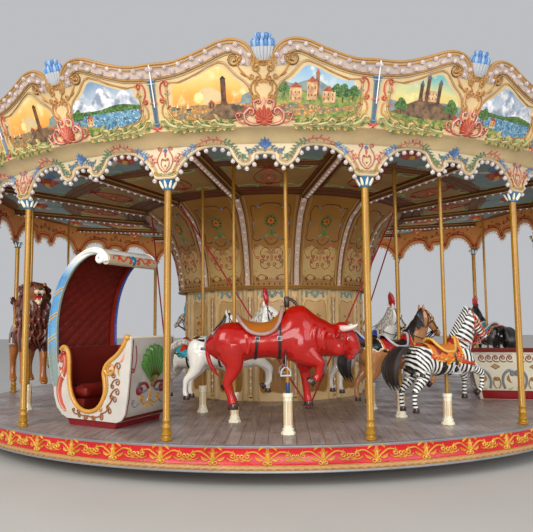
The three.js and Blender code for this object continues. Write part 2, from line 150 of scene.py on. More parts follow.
class Form:
    """Corners and faces of a piece while it is made. Each face has the name of its paint."""

    def __init__(self):
        self.parts, self.count, self.faces, self.paints = [], 0, [], []

    def add(self, corners, faces, paint):
        corners = np.asarray(corners, float).reshape(-1, 3)
        self.faces += [tuple(self.count + i for i in face) for face in faces]
        self.paints += [paint] * len(faces)
        self.parts.append(corners)
        self.count += len(corners)
        return self

    def face(self, corners, paint):
        return self.add(corners, [tuple(range(len(corners)))], paint)

    def corners(self):
        return np.vstack(self.parts) if self.parts else np.zeros((0, 3))

    def join(self, other):
        self.faces += [tuple(self.count + i for i in face) for face in other.faces]
        self.paints += other.paints
        self.parts.append(other.corners())
        self.count += other.count
        return self

    def mapped(self, place, flip=False):
        made = Form()
        made.parts = [place(self.corners())]
        made.count = self.count
        made.faces = [face[::-1] for face in self.faces] if flip else list(self.faces)
        made.paints = list(self.paints)
        return made

    def mirrored(self):
        return self.mapped(lambda p: p * [-1, 1, 1], flip=True)

    def both_sides(self):
        return self.join(self.mirrored())

    def moved(self, x=0.0, y=0.0, z=0.0):
        return self.mapped(lambda p: p + [x, y, z])

    def turned(self, angle):
        c, s = math.cos(angle), math.sin(angle)
        return self.mapped(lambda p: p @ np.array([[c, s, 0], [-s, c, 0], [0, 0, 1]]))

    def around(self, count=bay_count, start=0.0):
        made = Form()
        for k in range(count):
            made.join(self.turned(start + k * 2 * math.pi / count))
        return made

    def grid(self, points, paint, loop_rows=False, loop_cols=False):
        rows, cols = points.shape[:2]
        return self.add(points, quads(rows, cols, loop_rows, loop_cols), paint)

    def tube(self, path, radius, paint, sides=6, flat=1.0, closed=False):
        path = np.asarray(path, float)
        count = len(path)
        radius = np.broadcast_to(radius, count)
        along = np.gradient(path, axis=0)
        if closed:
            along = np.roll(path, -1, 0) - np.roll(path, 1, 0)
        along /= np.maximum(np.linalg.norm(along, axis=1), 1e-9)[:, None]
        side = np.cross(along[0], [0.0, 0.0, 1.0])
        if np.linalg.norm(side) < 0.1:
            side = np.cross(along[0], [0.0, 1.0, 0.0])
        rings = []
        turns = full_turn(sides)
        for k in range(count):
            side = side - along[k] * (side @ along[k])
            side /= np.linalg.norm(side)
            over = np.cross(along[k], side)
            ring = np.outer(np.cos(turns), side) + np.outer(np.sin(turns) * flat, over)
            rings.append(path[k] + ring * radius[k])
        start = self.count
        self.grid(np.array(rings), paint, loop_rows=closed, loop_cols=True)
        if not closed:
            last = (count - 1) * sides
            tips = [start + j for j in range(sides)][::-1], [start + last + j for j in range(sides)]
            for tip in tips:
                self.faces.append(tuple(tip))
                self.paints.append(paint)
        return self

    def ball(self, centre, radius, paint, rings=5, sides=8):
        up = np.linspace(0, math.pi, rings + 1)[1:-1]
        round_ = full_turn(sides)
        radius = np.broadcast_to(radius, 3)
        points = [[0, 0, 1]]
        points += [
            [math.sin(a) * math.cos(b), math.sin(a) * math.sin(b), math.cos(a)] for a in up for b in round_
        ]
        points.append([0, 0, -1])
        last = len(points) - 1
        faces = [(0, 1 + j, 1 + (j + 1) % sides) for j in range(sides)]
        for face in quads(rings - 1, sides, loop_cols=True):
            faces.append(tuple(i + 1 for i in face[::-1]))
        foot = last - sides
        faces += [(last, foot + (j + 1) % sides, foot + j) for j in range(sides)]
        return self.add(np.array(points) * radius + centre, faces, paint)

    def lathe(self, profile, paint, sides=24, centre=(0, 0, 0), paint_of=None):
        turns = full_turn(sides)
        rings = [[[r * math.sin(a), -r * math.cos(a), z] for a in turns] for r, z in profile]
        points = np.array(rings) + centre
        start = self.count
        self.grid(points, paint, loop_cols=True)
        if paint_of:
            for k in range(len(profile) - 1):
                for j in range(sides):
                    self.paints[len(self.paints) - (len(profile) - 1 - k) * sides + j] = paint_of(k)
        if profile[0][0] > 1e-6 and profile[0] != profile[-1]:
            self.faces.append(tuple(start + j for j in range(sides)))
            self.paints.append(self.paints[-1])
        if profile[-1][0] > 1e-6 and profile[0] != profile[-1]:
            last = start + (len(profile) - 1) * sides
            self.faces.append(tuple(last + j for j in range(sides))[::-1])
            self.paints.append(self.paints[-1])
        return self

    # Flat ornament: [across, up, out] on a board that is bent onto its surface later

    def stroke(self, path, width, paint, height=0.007, across=3):
        path = np.asarray(path, float)[:, :2]
        along = np.gradient(path, axis=0)
        along /= np.maximum(np.linalg.norm(along, axis=1), 1e-9)[:, None]
        side = np.column_stack([along[:, 1], -along[:, 0]])
        width = np.broadcast_to(width, len(path))[:, None]
        steps = {3: ((-0.5, -0.3), (0, 1), (0.5, -0.3)),
                 5: ((-0.5, -0.3), (-0.32, 0.75), (0, 1), (0.32, 0.75), (0.5, -0.3))}[across]
        columns = [
            np.column_stack([path + side * width * s, np.full(len(path), h * height)]) for s, h in steps
        ]
        return self.grid(np.stack(columns, 1), paint)

    def scroll(self, points, first, last, width, paint, height=0.007, across=3):
        """A stroke along a flourish."""
        return self.stroke(flourish(points, first, last), width, paint, height, across)

    def leaf(self, start, end, width, paint, bend=0.0, height=0.012, steps=7):
        start, end = np.array(start, float), np.array(end, float)
        along = end - start
        side = np.array([along[1], -along[0]])
        t = np.linspace(0, 1, steps)[:, None]
        middle = start + along * t + side * bend * (4 * t * (1 - t))
        swell = width * np.sin(math.pi * (0.04 + 0.93 * t ** 0.8)) * 0.5
        unit = side / np.linalg.norm(side)
        rows = []
        for s, h in ((-1, -0.2), (-0.55, 0.9), (0, 0.45), (0.55, 0.9), (1, -0.2)):
            lift = h * height * np.sin(math.pi * (0.06 + 0.9 * t))
            rows.append(np.hstack([middle + unit * swell * s, lift]))
        return self.grid(np.stack(rows, 1), paint)

    def patch(self, outline, paint, height=0.0):
        """A flat or domed fill of a closed outline that its middle sees whole."""
        outline = np.asarray(outline, float)[:, :2]
        middle = outline.mean(0)
        rings = [(1.0, -0.002), (0.85, height * 0.8), (0.5, height)]
        grid = [np.column_stack([middle + (outline - middle) * s, np.full(len(outline), h)]) for s, h in rings]
        self.grid(np.array(grid), paint, loop_cols=True)
        last = self.count - len(outline)
        self.faces.append(tuple(last + j for j in range(len(outline))))
        self.paints.append(paint)
        return self


def smooth(points, per=6, closed=False):
    """Points on a Catmull-Rom curve through the given ones."""
    points = np.asarray(points, float)
    count = len(points)
    spans = range(count) if closed else range(count - 1)
    made = []
    for k in spans:
        if closed:
            a, b, c, d = (points[(k + i) % count] for i in (-1, 0, 1, 2))
        else:
            b, c = points[k], points[k + 1]
            a = points[k - 1] if k else 2 * b - c
            d = points[k + 2] if k + 2 < count else 2 * c - b
        for t in np.arange(per) / per:
            made.append(0.5 * (2 * b + (c - a) * t + (2 * a - 5 * b + 4 * c - d) * t * t
                               + (3 * b - a - 3 * c + d) * t ** 3))
    if not closed:
        made.append(points[-1])
    return np.array(made)


def curl(point, heading, radius, hand, turns=1.15, steps=14):
    """A spiral that leaves a point along a heading and winds left (hand 1) or right (hand -1)."""
    point, made = np.array(point, float), []
    step = turns * 2 * math.pi / steps
    for k in range(steps):
        heading += hand * step
        size = radius * (1 - 0.8 * k / steps)
        point = point + size * step * np.array([math.cos(heading), math.sin(heading)])
        made.append(point)
    return np.array(made)


def flourish(points, first=None, last=None, per=6, turns=1.15):
    """A smooth line through points whose ends may wind into curls, each given as (radius, hand)."""
    line = smooth(points, per)
    if last:
        away = line[-1] - line[-2]
        line = np.vstack([line, curl(line[-1], math.atan2(away[1], away[0]), *last, turns)])
    if first:
        away = line[0] - line[1]
        line = np.vstack([curl(line[0], math.atan2(away[1], away[0]), *first, turns)[::-1], line])
    return line


def wrapped(arc, radius_at, slope=0.0):
    """A mapping of flat [across, up, out] points onto a ring, with up counted from the deck."""
    tilt = math.atan(slope)

    def place(p):
        turn = p[:, 0] / arc
        radius = radius_at(p[:, 1]) + p[:, 2] * math.cos(tilt)
        height = deck_top + p[:, 1] - p[:, 2] * math.sin(tilt)
        return on_circle(radius, turn, height)

    return place


on_board = wrapped(board_arc, lambda up: board_radius + board_lean * (up - board_foot), board_lean)
on_valance = wrapped(valance_radius, lambda up: np.full(len(up), valance_radius))


# Materials

def hue(code, alpha=1.0):
    values = [int(code[i:i + 2], 16) / 255 for i in (1, 3, 5)]
    return [v / 12.92 if v <= 0.04045 else ((v + 0.055) / 1.055) ** 2.4 for v in values] + [alpha]


class Nodes:
    """A material's nodes: make() adds one, sets its values and links its inputs."""

    def __init__(self, name):
        self.material = bpy.data.materials.new(name)
        self.material.use_nodes = True
        self.tree = self.material.node_tree
        self.shader = self.tree.nodes["Principled BSDF"]
        self.place = self.make("ShaderNodeTexCoord").outputs["Object"]

    def make(self, kind, inputs=(), **values):
        node = self.tree.nodes.new(kind)
        for key, value in values.items():
            setattr(node, key, value)
        for key, value in dict(inputs).items():
            self.feed(node.inputs[key], value)
        return node

    def feed(self, socket, value):
        if isinstance(value, bpy.types.NodeSocket):
            self.tree.links.new(value, socket)
        else:
            socket.default_value = value

    def noise(self, scale, detail=4.0, vector=None):
        inputs = {"Vector": vector or self.place, "Scale": scale, "Detail": detail}
        return self.make("ShaderNodeTexNoise", inputs).outputs["Fac"]

    def ranged(self, value, low, high, to_low=0.0, to_high=1.0):
        inputs = {"Value": value, 1: low, 2: high, 3: to_low, 4: to_high}
        return self.make("ShaderNodeMapRange", inputs).outputs["Result"]

    def cloud(self, scale, detail=4.0, low=0.3, high=0.7, to_low=0.0, to_high=1.0):
        """Noise, with the span between two of its values stretched to another span."""
        return self.ranged(self.noise(scale, detail), low, high, to_low, to_high)

    def math(self, operation, a, b=0.0):
        return self.make("ShaderNodeMath", {0: a, 1: b}, operation=operation).outputs[0]

    def mix(self, share, a, b, kind="MIX"):
        node = self.make("ShaderNodeMix", {0: share, 6: a, 7: b}, data_type="RGBA", blend_type=kind)
        return node.outputs[2]

    def set(self, **values):
        for key, value in values.items():
            self.feed(self.shader.inputs[key.replace("_", " ")], value)

    def bump(self, height, strength, distance):
        inputs = {"Height": height, "Strength": strength, "Distance": distance}
        self.set(Normal=self.make("ShaderNodeBump", inputs).outputs[0])


def shade_of(code, share):
    return [v * share for v in hue(code)[:3]] + [1.0]


def paint(name, code, rough, metal=0.0):
    """Brushed enamel paint: cloudy colour, painted shade in the recesses, sharp edges lighter partly by wear and partly
    by a painted highlight, and fine brush marks.
    """
    n, vary, grain = Nodes(name), 0.16, 3.0
    colour = n.mix(n.cloud(grain, 5.0), shade_of(code, 1 - vary), shade_of(code, 1 + vary * 0.6))
    colour = n.mix(n.cloud(grain * 14, 3.0, 0.55, 0.75, 0.0, 0.35), colour, shade_of(code, 0.72))
    edge = n.make("ShaderNodeNewGeometry").outputs["Pointiness"]
    # Painted shade: darker where the surface is hollow
    colour = n.mix(n.ranged(edge, 0.42, 0.5, 0.35, 0.0), colour, shade_of(code, 0.35))
    # Sharp edges lighter: partly wear, partly a painted highlight
    colour = n.mix(n.ranged(edge, 0.52, 0.62, 0.0, 0.3), colour, shade_of(code, 1.25))
    n.set(Base_Color=colour, Metallic=metal, Coat_Roughness=0.08)
    n.set(Roughness=n.cloud(grain * 5, 4.0, 0.3, 0.7, max(rough - 0.08, 0.05), rough + 0.12))
    n.bump(n.noise(grain * 26, 3.0), 0.15, 0.004)
    return n.material


def bulb_glass():
    n = Nodes("bulb_opal")
    n.set(Base_Color=n.mix(n.cloud(30.0, 4.0, 0.35, 0.65), hue("#F1ECF0"), hue("#C9BCC6")), Roughness=0.1)
    n.set(Coat_Weight=0.6, Transmission_Weight=0.55, IOR=1.25, Emission_Color=hue("#FFF4EA"), Emission_Strength=0.14)
    return n.material


PAINTS = {
    "board": ("#E0C492", HALF), "valance": ("#CEBB98", HALF), "inside": ("#E89A50", SOFT),
    "line_crimson": ("#A81C14", 0.4),
    "crest": ("#D0BAAA", HALF), "mauve": ("#6F4450", 0.3), "gold": ("#C0914A", 0.32), "ochre": ("#B08345", 0.38),
    "coral": ("#C25A45", 0.34), "pink": ("#E3A48E", 0.38), "green": ("#8FA865", 0.4), "leaf": ("#5E8A4A", 0.42),
    "blue": ("#3F74B4", 0.32), "sky_blue": ("#7FA4C4", 0.36), "cream": ("#F4EBD0", 0.36),
    "crimson": ("#98201C", 0.38), "line_red": ("#7A2A18", 0.42), "silver": ("#B9BCC0", 0.3), "dark": ("#2B201C", 0.5),
    "acanthus": ("#BDB982", 0.4), "acanthus_dark": ("#76884E", 0.42), "acanthus_ochre": ("#CBB06C", 0.4),
    "soft_coral": ("#B86E5E", 0.4), "soft_blue": ("#6C7FA4", 0.4), "soft_teal": ("#5C7F7C", 0.4),
    "soft_leaf": ("#74895E", 0.42),
    "wave_brown": ("#8C4C2C", 0.36), "curl_brown": ("#94582E", 0.34), "post_blue": ("#6C8496", 0.3),
    "steel_blue": ("#4F78AE", 0.28), "pale_blue": ("#86A6C8", 0.28), "rim_red": ("#C8161E", 0.26),
    "rope": ("#CE9A5E", 0.4), "back": ("#6E5236", SOFT), "white": ("#F3F0EA", 0.3),
}
made_paints = {}


def paint_named(name):
    if name not in made_paints:
        if name == "bulb":
            made_paints[name] = bulb_glass()
        elif name in SPECIAL:
            made_paints[name] = SPECIAL[name](name)
        else:
            made_paints[name] = paint(name, *PAINTS[name])
    return made_paints[name]


def object_of(name, form):
    """A linked object of a form, and its paints' names in the order of their slots."""
    mesh = bpy.data.meshes.new(name)
    mesh.from_pydata(form.corners().tolist(), [], form.faces)
    names = sorted(set(form.paints))
    mesh.polygons.foreach_set("material_index", [names.index(p) for p in form.paints])
    made = bpy.data.objects.new(name, mesh)
    bpy.context.scene.collection.objects.link(made)
    return made, names


def changed(made):
    """An object's mesh as its modifiers leave it."""
    bpy.context.view_layer.update()
    return made.evaluated_get(bpy.context.evaluated_depsgraph_get()).to_mesh()


def corners_of(mesh):
    return np.array([v.co[:] for v in mesh.vertices])


def faces_of(mesh):
    return [tuple(p.vertices) for p in mesh.polygons]


def remove(made):
    mesh = made.data
    bpy.data.objects.remove(made)
    bpy.data.meshes.remove(mesh)


def voxels(made, size):
    remesh = made.modifiers.new("remesh", "REMESH")
    remesh.mode, remesh.voxel_size = "VOXEL", size


def thinned(form, share):
    """The form with that share of its triangles, fewest where it is flattest."""
    raw, names = object_of("thinned", form)
    raw.modifiers.new("collapse", "DECIMATE").ratio = share
    left = changed(raw)
    made = Form().add(corners_of(left), faces_of(left), "")
    made.paints = [names[p.material_index] for p in left.polygons]
    remove(raw)
    return made


def bay_piece(name, form, surface, share, angle):
    """A piece whose flat bay is bent onto its surface, thinned and turned round the ride."""
    piece(name, thinned(form.mapped(surface), share).around(), angle=angle)


def piece(name, form, body="turntable", replaces=(), angle=40, tones=None):
    """Makes the object of a form, with smooth faces up to an angle, riding on its body."""
    made, names = object_of(name, form)
    mesh = made.data
    for paint_name in names:
        mesh.materials.append(paint_named(paint_name))
    mesh.polygons.foreach_set("use_smooth", [True] * len(mesh.polygons))
    mesh.set_sharp_from_angle(angle=math.radians(angle))
    if tones is not None:
        layer = mesh.color_attributes.new("tone", "FLOAT_COLOR", "POINT")
        layer.data.foreach_set("color", np.asarray(tones, np.float32).ravel())
    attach(made, body)
    if replaces:
        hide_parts(*replaces)
    return made


# Camera, lights and floor

def make_camera():
    distance, azimuth, eye_height = 10.897, 0.0157, 1.19
    yaw, pitch, roll = -0.0273, 0.0944, -0.0091
    ahead = Vector((math.sin(yaw) * math.cos(pitch), math.cos(yaw) * math.cos(pitch), math.sin(pitch)))
    right = Vector((math.cos(yaw), -math.sin(yaw), 0.0))
    up = right.cross(ahead)
    level, over = (math.cos(roll) * right + math.sin(roll) * up, math.cos(roll) * up - math.sin(roll) * right)
    data = bpy.data.cameras.new("camera")
    data.lens, data.sensor_width = 40.82, 36.0
    data.clip_end = 300
    camera = bpy.data.objects.new("camera", data)
    eye = (distance * math.sin(azimuth), -distance * math.cos(azimuth), deck_top + eye_height)
    camera.matrix_world = Matrix.Translation(eye) @ Matrix((level, over, -ahead)).transposed().to_4x4()
    bpy.context.scene.collection.objects.link(camera)
    bpy.context.scene.camera = camera


def make_light(name, place, target, size, power, colour):
    data = bpy.data.lights.new(name, "AREA")
    data.size, data.energy, data.color = size, power, colour
    made = bpy.data.objects.new(name, data)
    made.location = place
    made.visible_camera = False
    made.rotation_euler = (Vector(target) - Vector(place)).to_track_quat("-Z", "Y").to_euler()
    bpy.context.scene.collection.objects.link(made)


def make_studio():
    world = bpy.data.worlds.new("studio")
    world.use_nodes = True
    world.node_tree.nodes["Background"].inputs[0].default_value = (0.94, 0.96, 1.0, 1)
    world.node_tree.nodes["Background"].inputs[1].default_value = 0.62
    bpy.context.scene.world = world
    make_light("key", (-7, -15, 8.5), (0, 0, 2.5), 8, 1500, (1.0, 0.98, 0.94))
    make_light("fill", (11, -13, 6), (0, 0, 2.0), 8, 650, (0.94, 0.97, 1.0))
    make_light("front", (3, -32, 4), (0, 0, 2.0), 12, 3600, (1.0, 0.99, 0.97))
    # Soft lights between the drum and the far bays, for the inside of the valance
    for k, azimuth in enumerate((105, 142, 180, 218, 255)):
        a = math.radians(azimuth)
        x, y = math.sin(a), -math.cos(a)
        make_light(f"inner_{k}", (2.7 * x, 2.7 * y, 2.0), (4.9 * x, 4.9 * y, 2.75), 1.4, 15, (1.0, 0.95, 0.88))
    mesh = bpy.data.meshes.new("floor")
    reach = 60
    mesh.from_pydata([(-reach, -reach, 0), (reach, -reach, 0), (reach, reach, 0), (-reach, reach, 0)], [],
                     [(0, 1, 2, 3)])
    n = Nodes("floor")
    n.set(Base_Color=n.mix(n.noise(0.8), hue("#BFBCB6"), hue("#CBC8C2")), Roughness=0.85)
    mesh.materials.append(n.material)
    floor = bpy.data.objects.new("floor", mesh)
    bpy.context.scene.collection.objects.link(floor)
    view = bpy.context.scene.view_settings
    view.view_transform, view.exposure = "Standard", -0.2


# Canopy: one bay is drawn flat, bent onto its surface and turned fourteen times

edge_stations = [
    (0.5, 2.712), (0.47, 2.712), (0.443, 2.728), (0.425, 2.817), (0.39, 2.903), (0.338, 2.988), (0.277, 3.024),
    (0.227, 3.026), (0.177, 2.997), (0.164, 2.938), (0.139, 2.856), (0.11, 2.812), (0.077, 2.82), (0.053, 2.868),
    (0.049, 2.925), (0.0, 2.939),
]
crest_stations = [
    (0.5, 3.795), (0.477, 3.795), (0.403, 3.794), (0.325, 3.831), (0.249, 3.886), (0.19, 3.935), (0.132, 3.953),
    (0.083, 3.924), (0.052, 3.862), (0.036, 3.783), (0.03, 3.76), (0.0, 3.755),
]
inner_stations = [
    (0.5, 3.648), (0.47, 3.656), (0.372, 3.676), (0.254, 3.754), (0.157, 3.837), (0.107, 3.818), (0.094, 3.772),
    (0.116, 3.73),
]
picture_stations = [
    (0.423, 3.601), (0.367, 3.609), (0.29, 3.667), (0.227, 3.729), (0.175, 3.749), (0.122, 3.639), (0.072, 3.547),
    (0.052, 3.412), (0.063, 3.296), (0.132, 3.237), (0.26, 3.243), (0.387, 3.276), (0.43, 3.347), (0.432, 3.458),
]


def edge_line(pitch=valance_pitch):
    half = smooth([(b * pitch, z) for b, z in edge_stations], 4)
    return np.vstack([half * [-1, 1], half[-2::-1]])


def half_line(stations, per=4):
    return smooth([(b * board_pitch, z) for b, z in stations], per)


def height_on(stations, share):
    line = smooth(stations, 6)
    order = np.argsort(line[:, 0], kind="stable")
    return np.interp(share, line[order, 0], line[order, 1])


def offset_line(line, gap):
    return line + unit_normals(line) * gap


def make_boards():
    """The shell of valance, cornice and rounding board, closed at its back."""
    shares = np.unique(np.round(np.concatenate([np.linspace(0, 0.5, 21), [b for b, z in edge_stations]]), 4))
    shares = np.concatenate([-shares[::-1], shares[1:]])
    low = height_on(edge_stations, np.abs(shares))
    high = height_on(crest_stations, np.abs(shares))
    inside, outside = valance_radius - panel_thickness - 0.003, valance_radius
    rows, paints = [], None
    for share, foot, top in zip(shares, low, high):
        crest = board_radius + board_lean * (top - board_foot)
        section = [
            (inside, 3.297, "inside"), (inside, foot + 0.022, "valance"), (inside + 0.006, foot + 0.006, "valance"),
            (inside + 0.017, foot, "valance"), (outside - 0.002, foot + 0.003, "valance"),
            (outside + 0.005, foot + 0.012, "valance"), (outside + 0.004, foot + 0.022, "valance"),
            (outside, foot + 0.029, "valance"), (outside, 3.046, "valance"), (outside + 0.012, 3.05, "cornice"),
            (outside + 0.028, 3.064, "cornice"), (outside + 0.062, 3.096, "cornice"),
            (outside + 0.115, 3.135, "cornice"), (board_radius - 0.012, 3.156, "cornice"),
            (board_radius + 0.004, 3.16, "cornice"), (board_radius + 0.012, 3.168, "cornice"),
            (board_radius + 0.006, 3.178, "board"), (board_radius + board_lean * 0.012, 3.182, "board"),
            (crest, top - 0.006, "crest"), (crest - 0.006, top, "crest"), (crest - 0.03, top - 0.004, "back"),
            (board_radius - 0.03, board_foot + 0.01, "back"), (outside - 0.02, 3.1, "back"),
        ]
        turn = share * bay_turn
        rows.append([on_ring(r, turn, z) for r, z, _ in section])
        paints = [name for _, _, name in section]
    bay = Form().grid(np.array(rows), "board", loop_cols=True)
    bay.paints = [paints[k % len(paints)] for k in range(len(bay.faces))]
    piece("bay_boards", bay.around(), replaces=[f"bay_panels_{k}" for k in range(1, 8)], angle=35)


def make_crest():
    outer = half_line(crest_stations[:10])
    outer = np.vstack([outer, half_line([(0.036, 3.783), (0.037, 3.74), (0.044, 3.71)])[1:]])
    inner = half_line(inner_stations)
    steps = np.linspace(0, 1, 60)

    def walk(line):
        lengths = lengths_along(line)
        return np.column_stack([np.interp(steps * lengths[-1], lengths, line[:, k]) for k in (0, 1)])

    outer_line, inner_line = walk(outer), walk(inner)
    band = Form()
    columns = [(0.02, -0.002), (0.03, 0.007), (0.5, 0.009), (0.97, 0.007), (0.98, -0.002)]
    rows = [np.column_stack([outer_line * (1 - s) + inner_line * s, np.full(60, h)]) for s, h in columns]
    band.grid(np.stack(rows, 1), "crest")
    trim = Form()
    for gap, width, name, lift in (
        (0.006, 0.03, "ochre", 0.022), (0.034, 0.02, "gold", 0.018), (0.05, 0.007, "mauve", 0.012),
    ):
        line = offset_line(outer_line, gap)
        trim.stroke(line, width, name, lift, 5 if width > 0.01 else 3)
    inward = np.vstack([inner_line[:-1], flourish(inner_line[-4:], last=(0.05, 1))[1:]])
    trim.stroke(offset_line(inward, -0.012), 0.007, "mauve", 0.013)
    trim.stroke(inward, 0.02, "ochre", 0.02, 5)
    trim.stroke(offset_line(inward, 0.022), 0.006, "mauve", 0.01)
    hook = flourish(outer_line[-5:], last=(0.035, -1))
    trim.stroke(hook, 0.022, "ochre", 0.022, 5)
    bulbs = Form()
    middle = outer_line * 0.5 + inner_line * 0.5
    along = np.gradient(middle, axis=0)
    spread = np.column_stack([-along[:, 1], along[:, 0]])
    for k in range(16):
        at = 1 + k * 57 / 15
        low = int(at)
        mix = at - low
        centre = middle[low] * (1 - mix) + middle[min(low + 1, 59)] * mix
        across = spread[low] / max(np.linalg.norm(spread[low]), 1e-6)
        centre = centre + across * (0.024 if k % 2 else -0.024)
        bulbs.ball([centre[0], centre[1], 0.022], 0.024, "bulb", 5, 8)
        bulbs.ball([centre[0], centre[1], 0.008], [0.03, 0.03, 0.008], "crest_shade", 3, 8)
    band = band.both_sides().join(trim.both_sides())
    bay_piece("crest_bands", band, on_board, share=0.42, angle=60)
    piece("crest_bulbs", bulbs.both_sides().mapped(on_board).around(), angle=60)


def spot_along(line, length):
    """The point at a length along a line, and the line's heading there."""
    walked = lengths_along(line)
    at, ahead = [np.array([np.interp(length + s, walked, line[:, i]) for i in (0, 1)]) for s in (0, 0.01)]
    return at, math.atan2(*(ahead - at)[::-1])


def garland(form, points, name, leaves, size, width, gap, curled=None):
    """A painted stem with rounded leaves on both sides."""
    line, height = flourish(points, None, curled), 0.01
    form.stroke(line, width, name, height, 5)
    for k in range(int(lengths_along(line)[-1] / gap)):
        at, heading = spot_along(line, (k + 0.5) * gap)
        for side in (-1, 1):
            turn = heading + side * 0.85
            tip = at + size * np.array([math.cos(turn), math.sin(turn)])
            petal(form, at, tip, size * 0.62 * 0.8, leaves[(k + (side > 0)) % len(leaves)], height * 1.3)
    return form


def acanthus(form, points, size):
    """A carved running leaf: broad overlapping lobes that lie along a stem and roll up at its end."""
    line, height = flourish(points, None, (size * 0.5, -1)), 0.022
    walked = lengths_along(line)
    form.stroke(line, size * np.interp(walked / walked[-1], [0, 0.2, 0.7, 1], [0.5, 0.85, 0.7, 0.4]), "acanthus",
                height, 5)
    for k in range(int(walked[-1] * 0.66 / (size * 0.62))):
        at, heading = spot_along(line, (k + 0.3) * size * 0.62)
        for side, reach in ((1, 1.35), (-1, 0.95)):
            turn = heading + side * 0.5
            tip = at + size * reach * np.array([math.cos(turn), math.sin(turn)])
            form.leaf(tuple(at), tuple(tip), size * 0.62,
                      ("acanthus", "acanthus_dark", "acanthus_ochre")[(k * 2 + side) % 3],
                      -side * 0.35, height * 1.3, 8)
    form.stroke(line, size * 0.12, "ochre", height + 0.012)
    return form


def petal(form, start, end, width, name, height):
    """A plump petal or shell lobe with a round end."""
    start, end = np.array(start, float), np.array(end, float)
    shares = np.array([0, 0.3, 0.65, 0.9, 1.0])
    line = start + np.outer(shares, end - start)
    return form.stroke(line, width * np.array([0.35, 0.8, 1.0, 0.75, 0.3]), name, height, 5)


def make_frames():
    """Painted frames, scrolls, leaves and the shell on the boards."""
    art = Form()
    middle = picture_line.mean(0)
    closed_line = looped(picture_line)
    art.stroke(closed_line, 0.014, "ochre", 0.012, 5)
    art.stroke(middle + (closed_line - middle) * 1.045, 0.006, "mauve", 0.005)
    # Chain of scrolls between the middle of the bay and the picture
    for points, first, last, width, name in (
        ([(0.05, 3.46), (0.085, 3.5), (0.075, 3.56), (0.04, 3.6)], (0.03, 1), (0.024, 1), 0.02, "gold"),
        ([(0.03, 3.62), (0.055, 3.66), (0.05, 3.71), (0.028, 3.74)], (0.026, 1), (0.018, 1), 0.018, "ochre"),
        ([(0.09, 3.4), (0.12, 3.46), (0.125, 3.53), (0.1, 3.58)], (0.03, -1), (0.028, 1), 0.02, "ochre"),
        ([(0.13, 3.6), (0.19, 3.65), (0.24, 3.71), (0.25, 3.775)], (0.026, -1), (0.024, 1), 0.02, "gold"),
        ([(0.99, 3.63), (1.03, 3.6), (1.04, 3.53), (1.01, 3.47)], (0.028, 1), (0.026, 1), 0.02, "coral"),
        ([(1.0, 3.44), (1.04, 3.39), (1.04, 3.32), (0.99, 3.26)], (0.022, -1), (0.028, -1), 0.02, "gold"),
    ):
        art.scroll(points, first, last, width, name, 0.015, 5)
        # A thin pink stripe along the top of each scroll: a painted highlight
        art.scroll(points, first, last, width * 0.35, "pink", 0.019)
    # Scrolls beside the shell: coral with cream crowns
    for points, last, width in (
        ([(0.03, 3.2), (0.1, 3.188), (0.18, 3.215), (0.2, 3.285), (0.15, 3.335)], (0.036, 1), 0.046),
        ([(0.045, 3.29), (0.09, 3.335), (0.1, 3.39), (0.06, 3.415)], (0.02, 1), 0.034),
        ([(0.2, 3.2), (0.26, 3.225), (0.285, 3.27)], (0.024, 1), 0.026),
    ):
        line = flourish(points, None, last)
        taper = sizes_along(line, [0, 0.3, 0.8, 1], [0.5, 1.0, 0.8, 0.3])
        art.stroke(line, width * taper, "coral", 0.022, 5)
        art.stroke(line, width * taper * 0.5, "crest", 0.029, 5)
    for x, y, heading, size, name in (
        (0.17, 3.33, 0.8, 0.06, "coral"), (0.2, 3.29, 0.2, 0.05, "pink"), (0.1, 3.41, 1.2, 0.06, "pink"),
        (0.1, 3.46, 0.9, 0.06, "ochre"), (0.17, 3.62, 0.6, 0.06, "ochre"), (0.16, 3.77, 1.0, 0.05, "pink"),
        (0.97, 3.57, 4.2, 0.06, "pink"), (1.0, 3.52, 3.4, 0.05, "green"), (0.99, 3.38, 2.6, 0.05, "coral"),
        (0.985, 3.65, 2.6, 0.05, "coral"),
    ):
        petal(art, (x, y), towards(x, y, heading, size), size * 0.4, name, 0.016)
    # Running band of carved leaves along the foot
    for points, size in (
        ([(0.3, 3.19), (0.38, 3.186), (0.46, 3.2), (0.5, 3.232)], 0.062),
        ([(0.45, 3.182), (0.56, 3.184), (0.64, 3.202), (0.68, 3.234)], 0.06),
        ([(0.62, 3.182), (0.74, 3.186), (0.82, 3.206), (0.86, 3.24)], 0.06),
        ([(0.8, 3.184), (0.9, 3.192), (0.98, 3.222), (1.02, 3.27)], 0.07),
    ):
        acanthus(art, points, size)
    art = art.both_sides()
    # Shell at the foot of the bay
    for k in range(9):
        turn = math.radians(-14 + k * 26)
        reach = 0.125 - 0.01 * abs(k - 4)
        tip = towards(0, 3.24, turn, reach)
        petal(art, (0, 3.225), tip, 0.046, "coral", 0.034)
        petal(art, (0, 3.225), (tip[0] * 0.85, 3.225 + (tip[1] - 3.225) * 0.85), 0.014, "pink", 0.042)
    art.ball([0, 3.21, 0.016], [0.04, 0.032, 0.028], "coral")
    petal(art, (0, 3.36), (0, 3.44), 0.034, "pink", 0.02)
    bay_piece("board_ornament", art, on_board, share=0.3, angle=50)


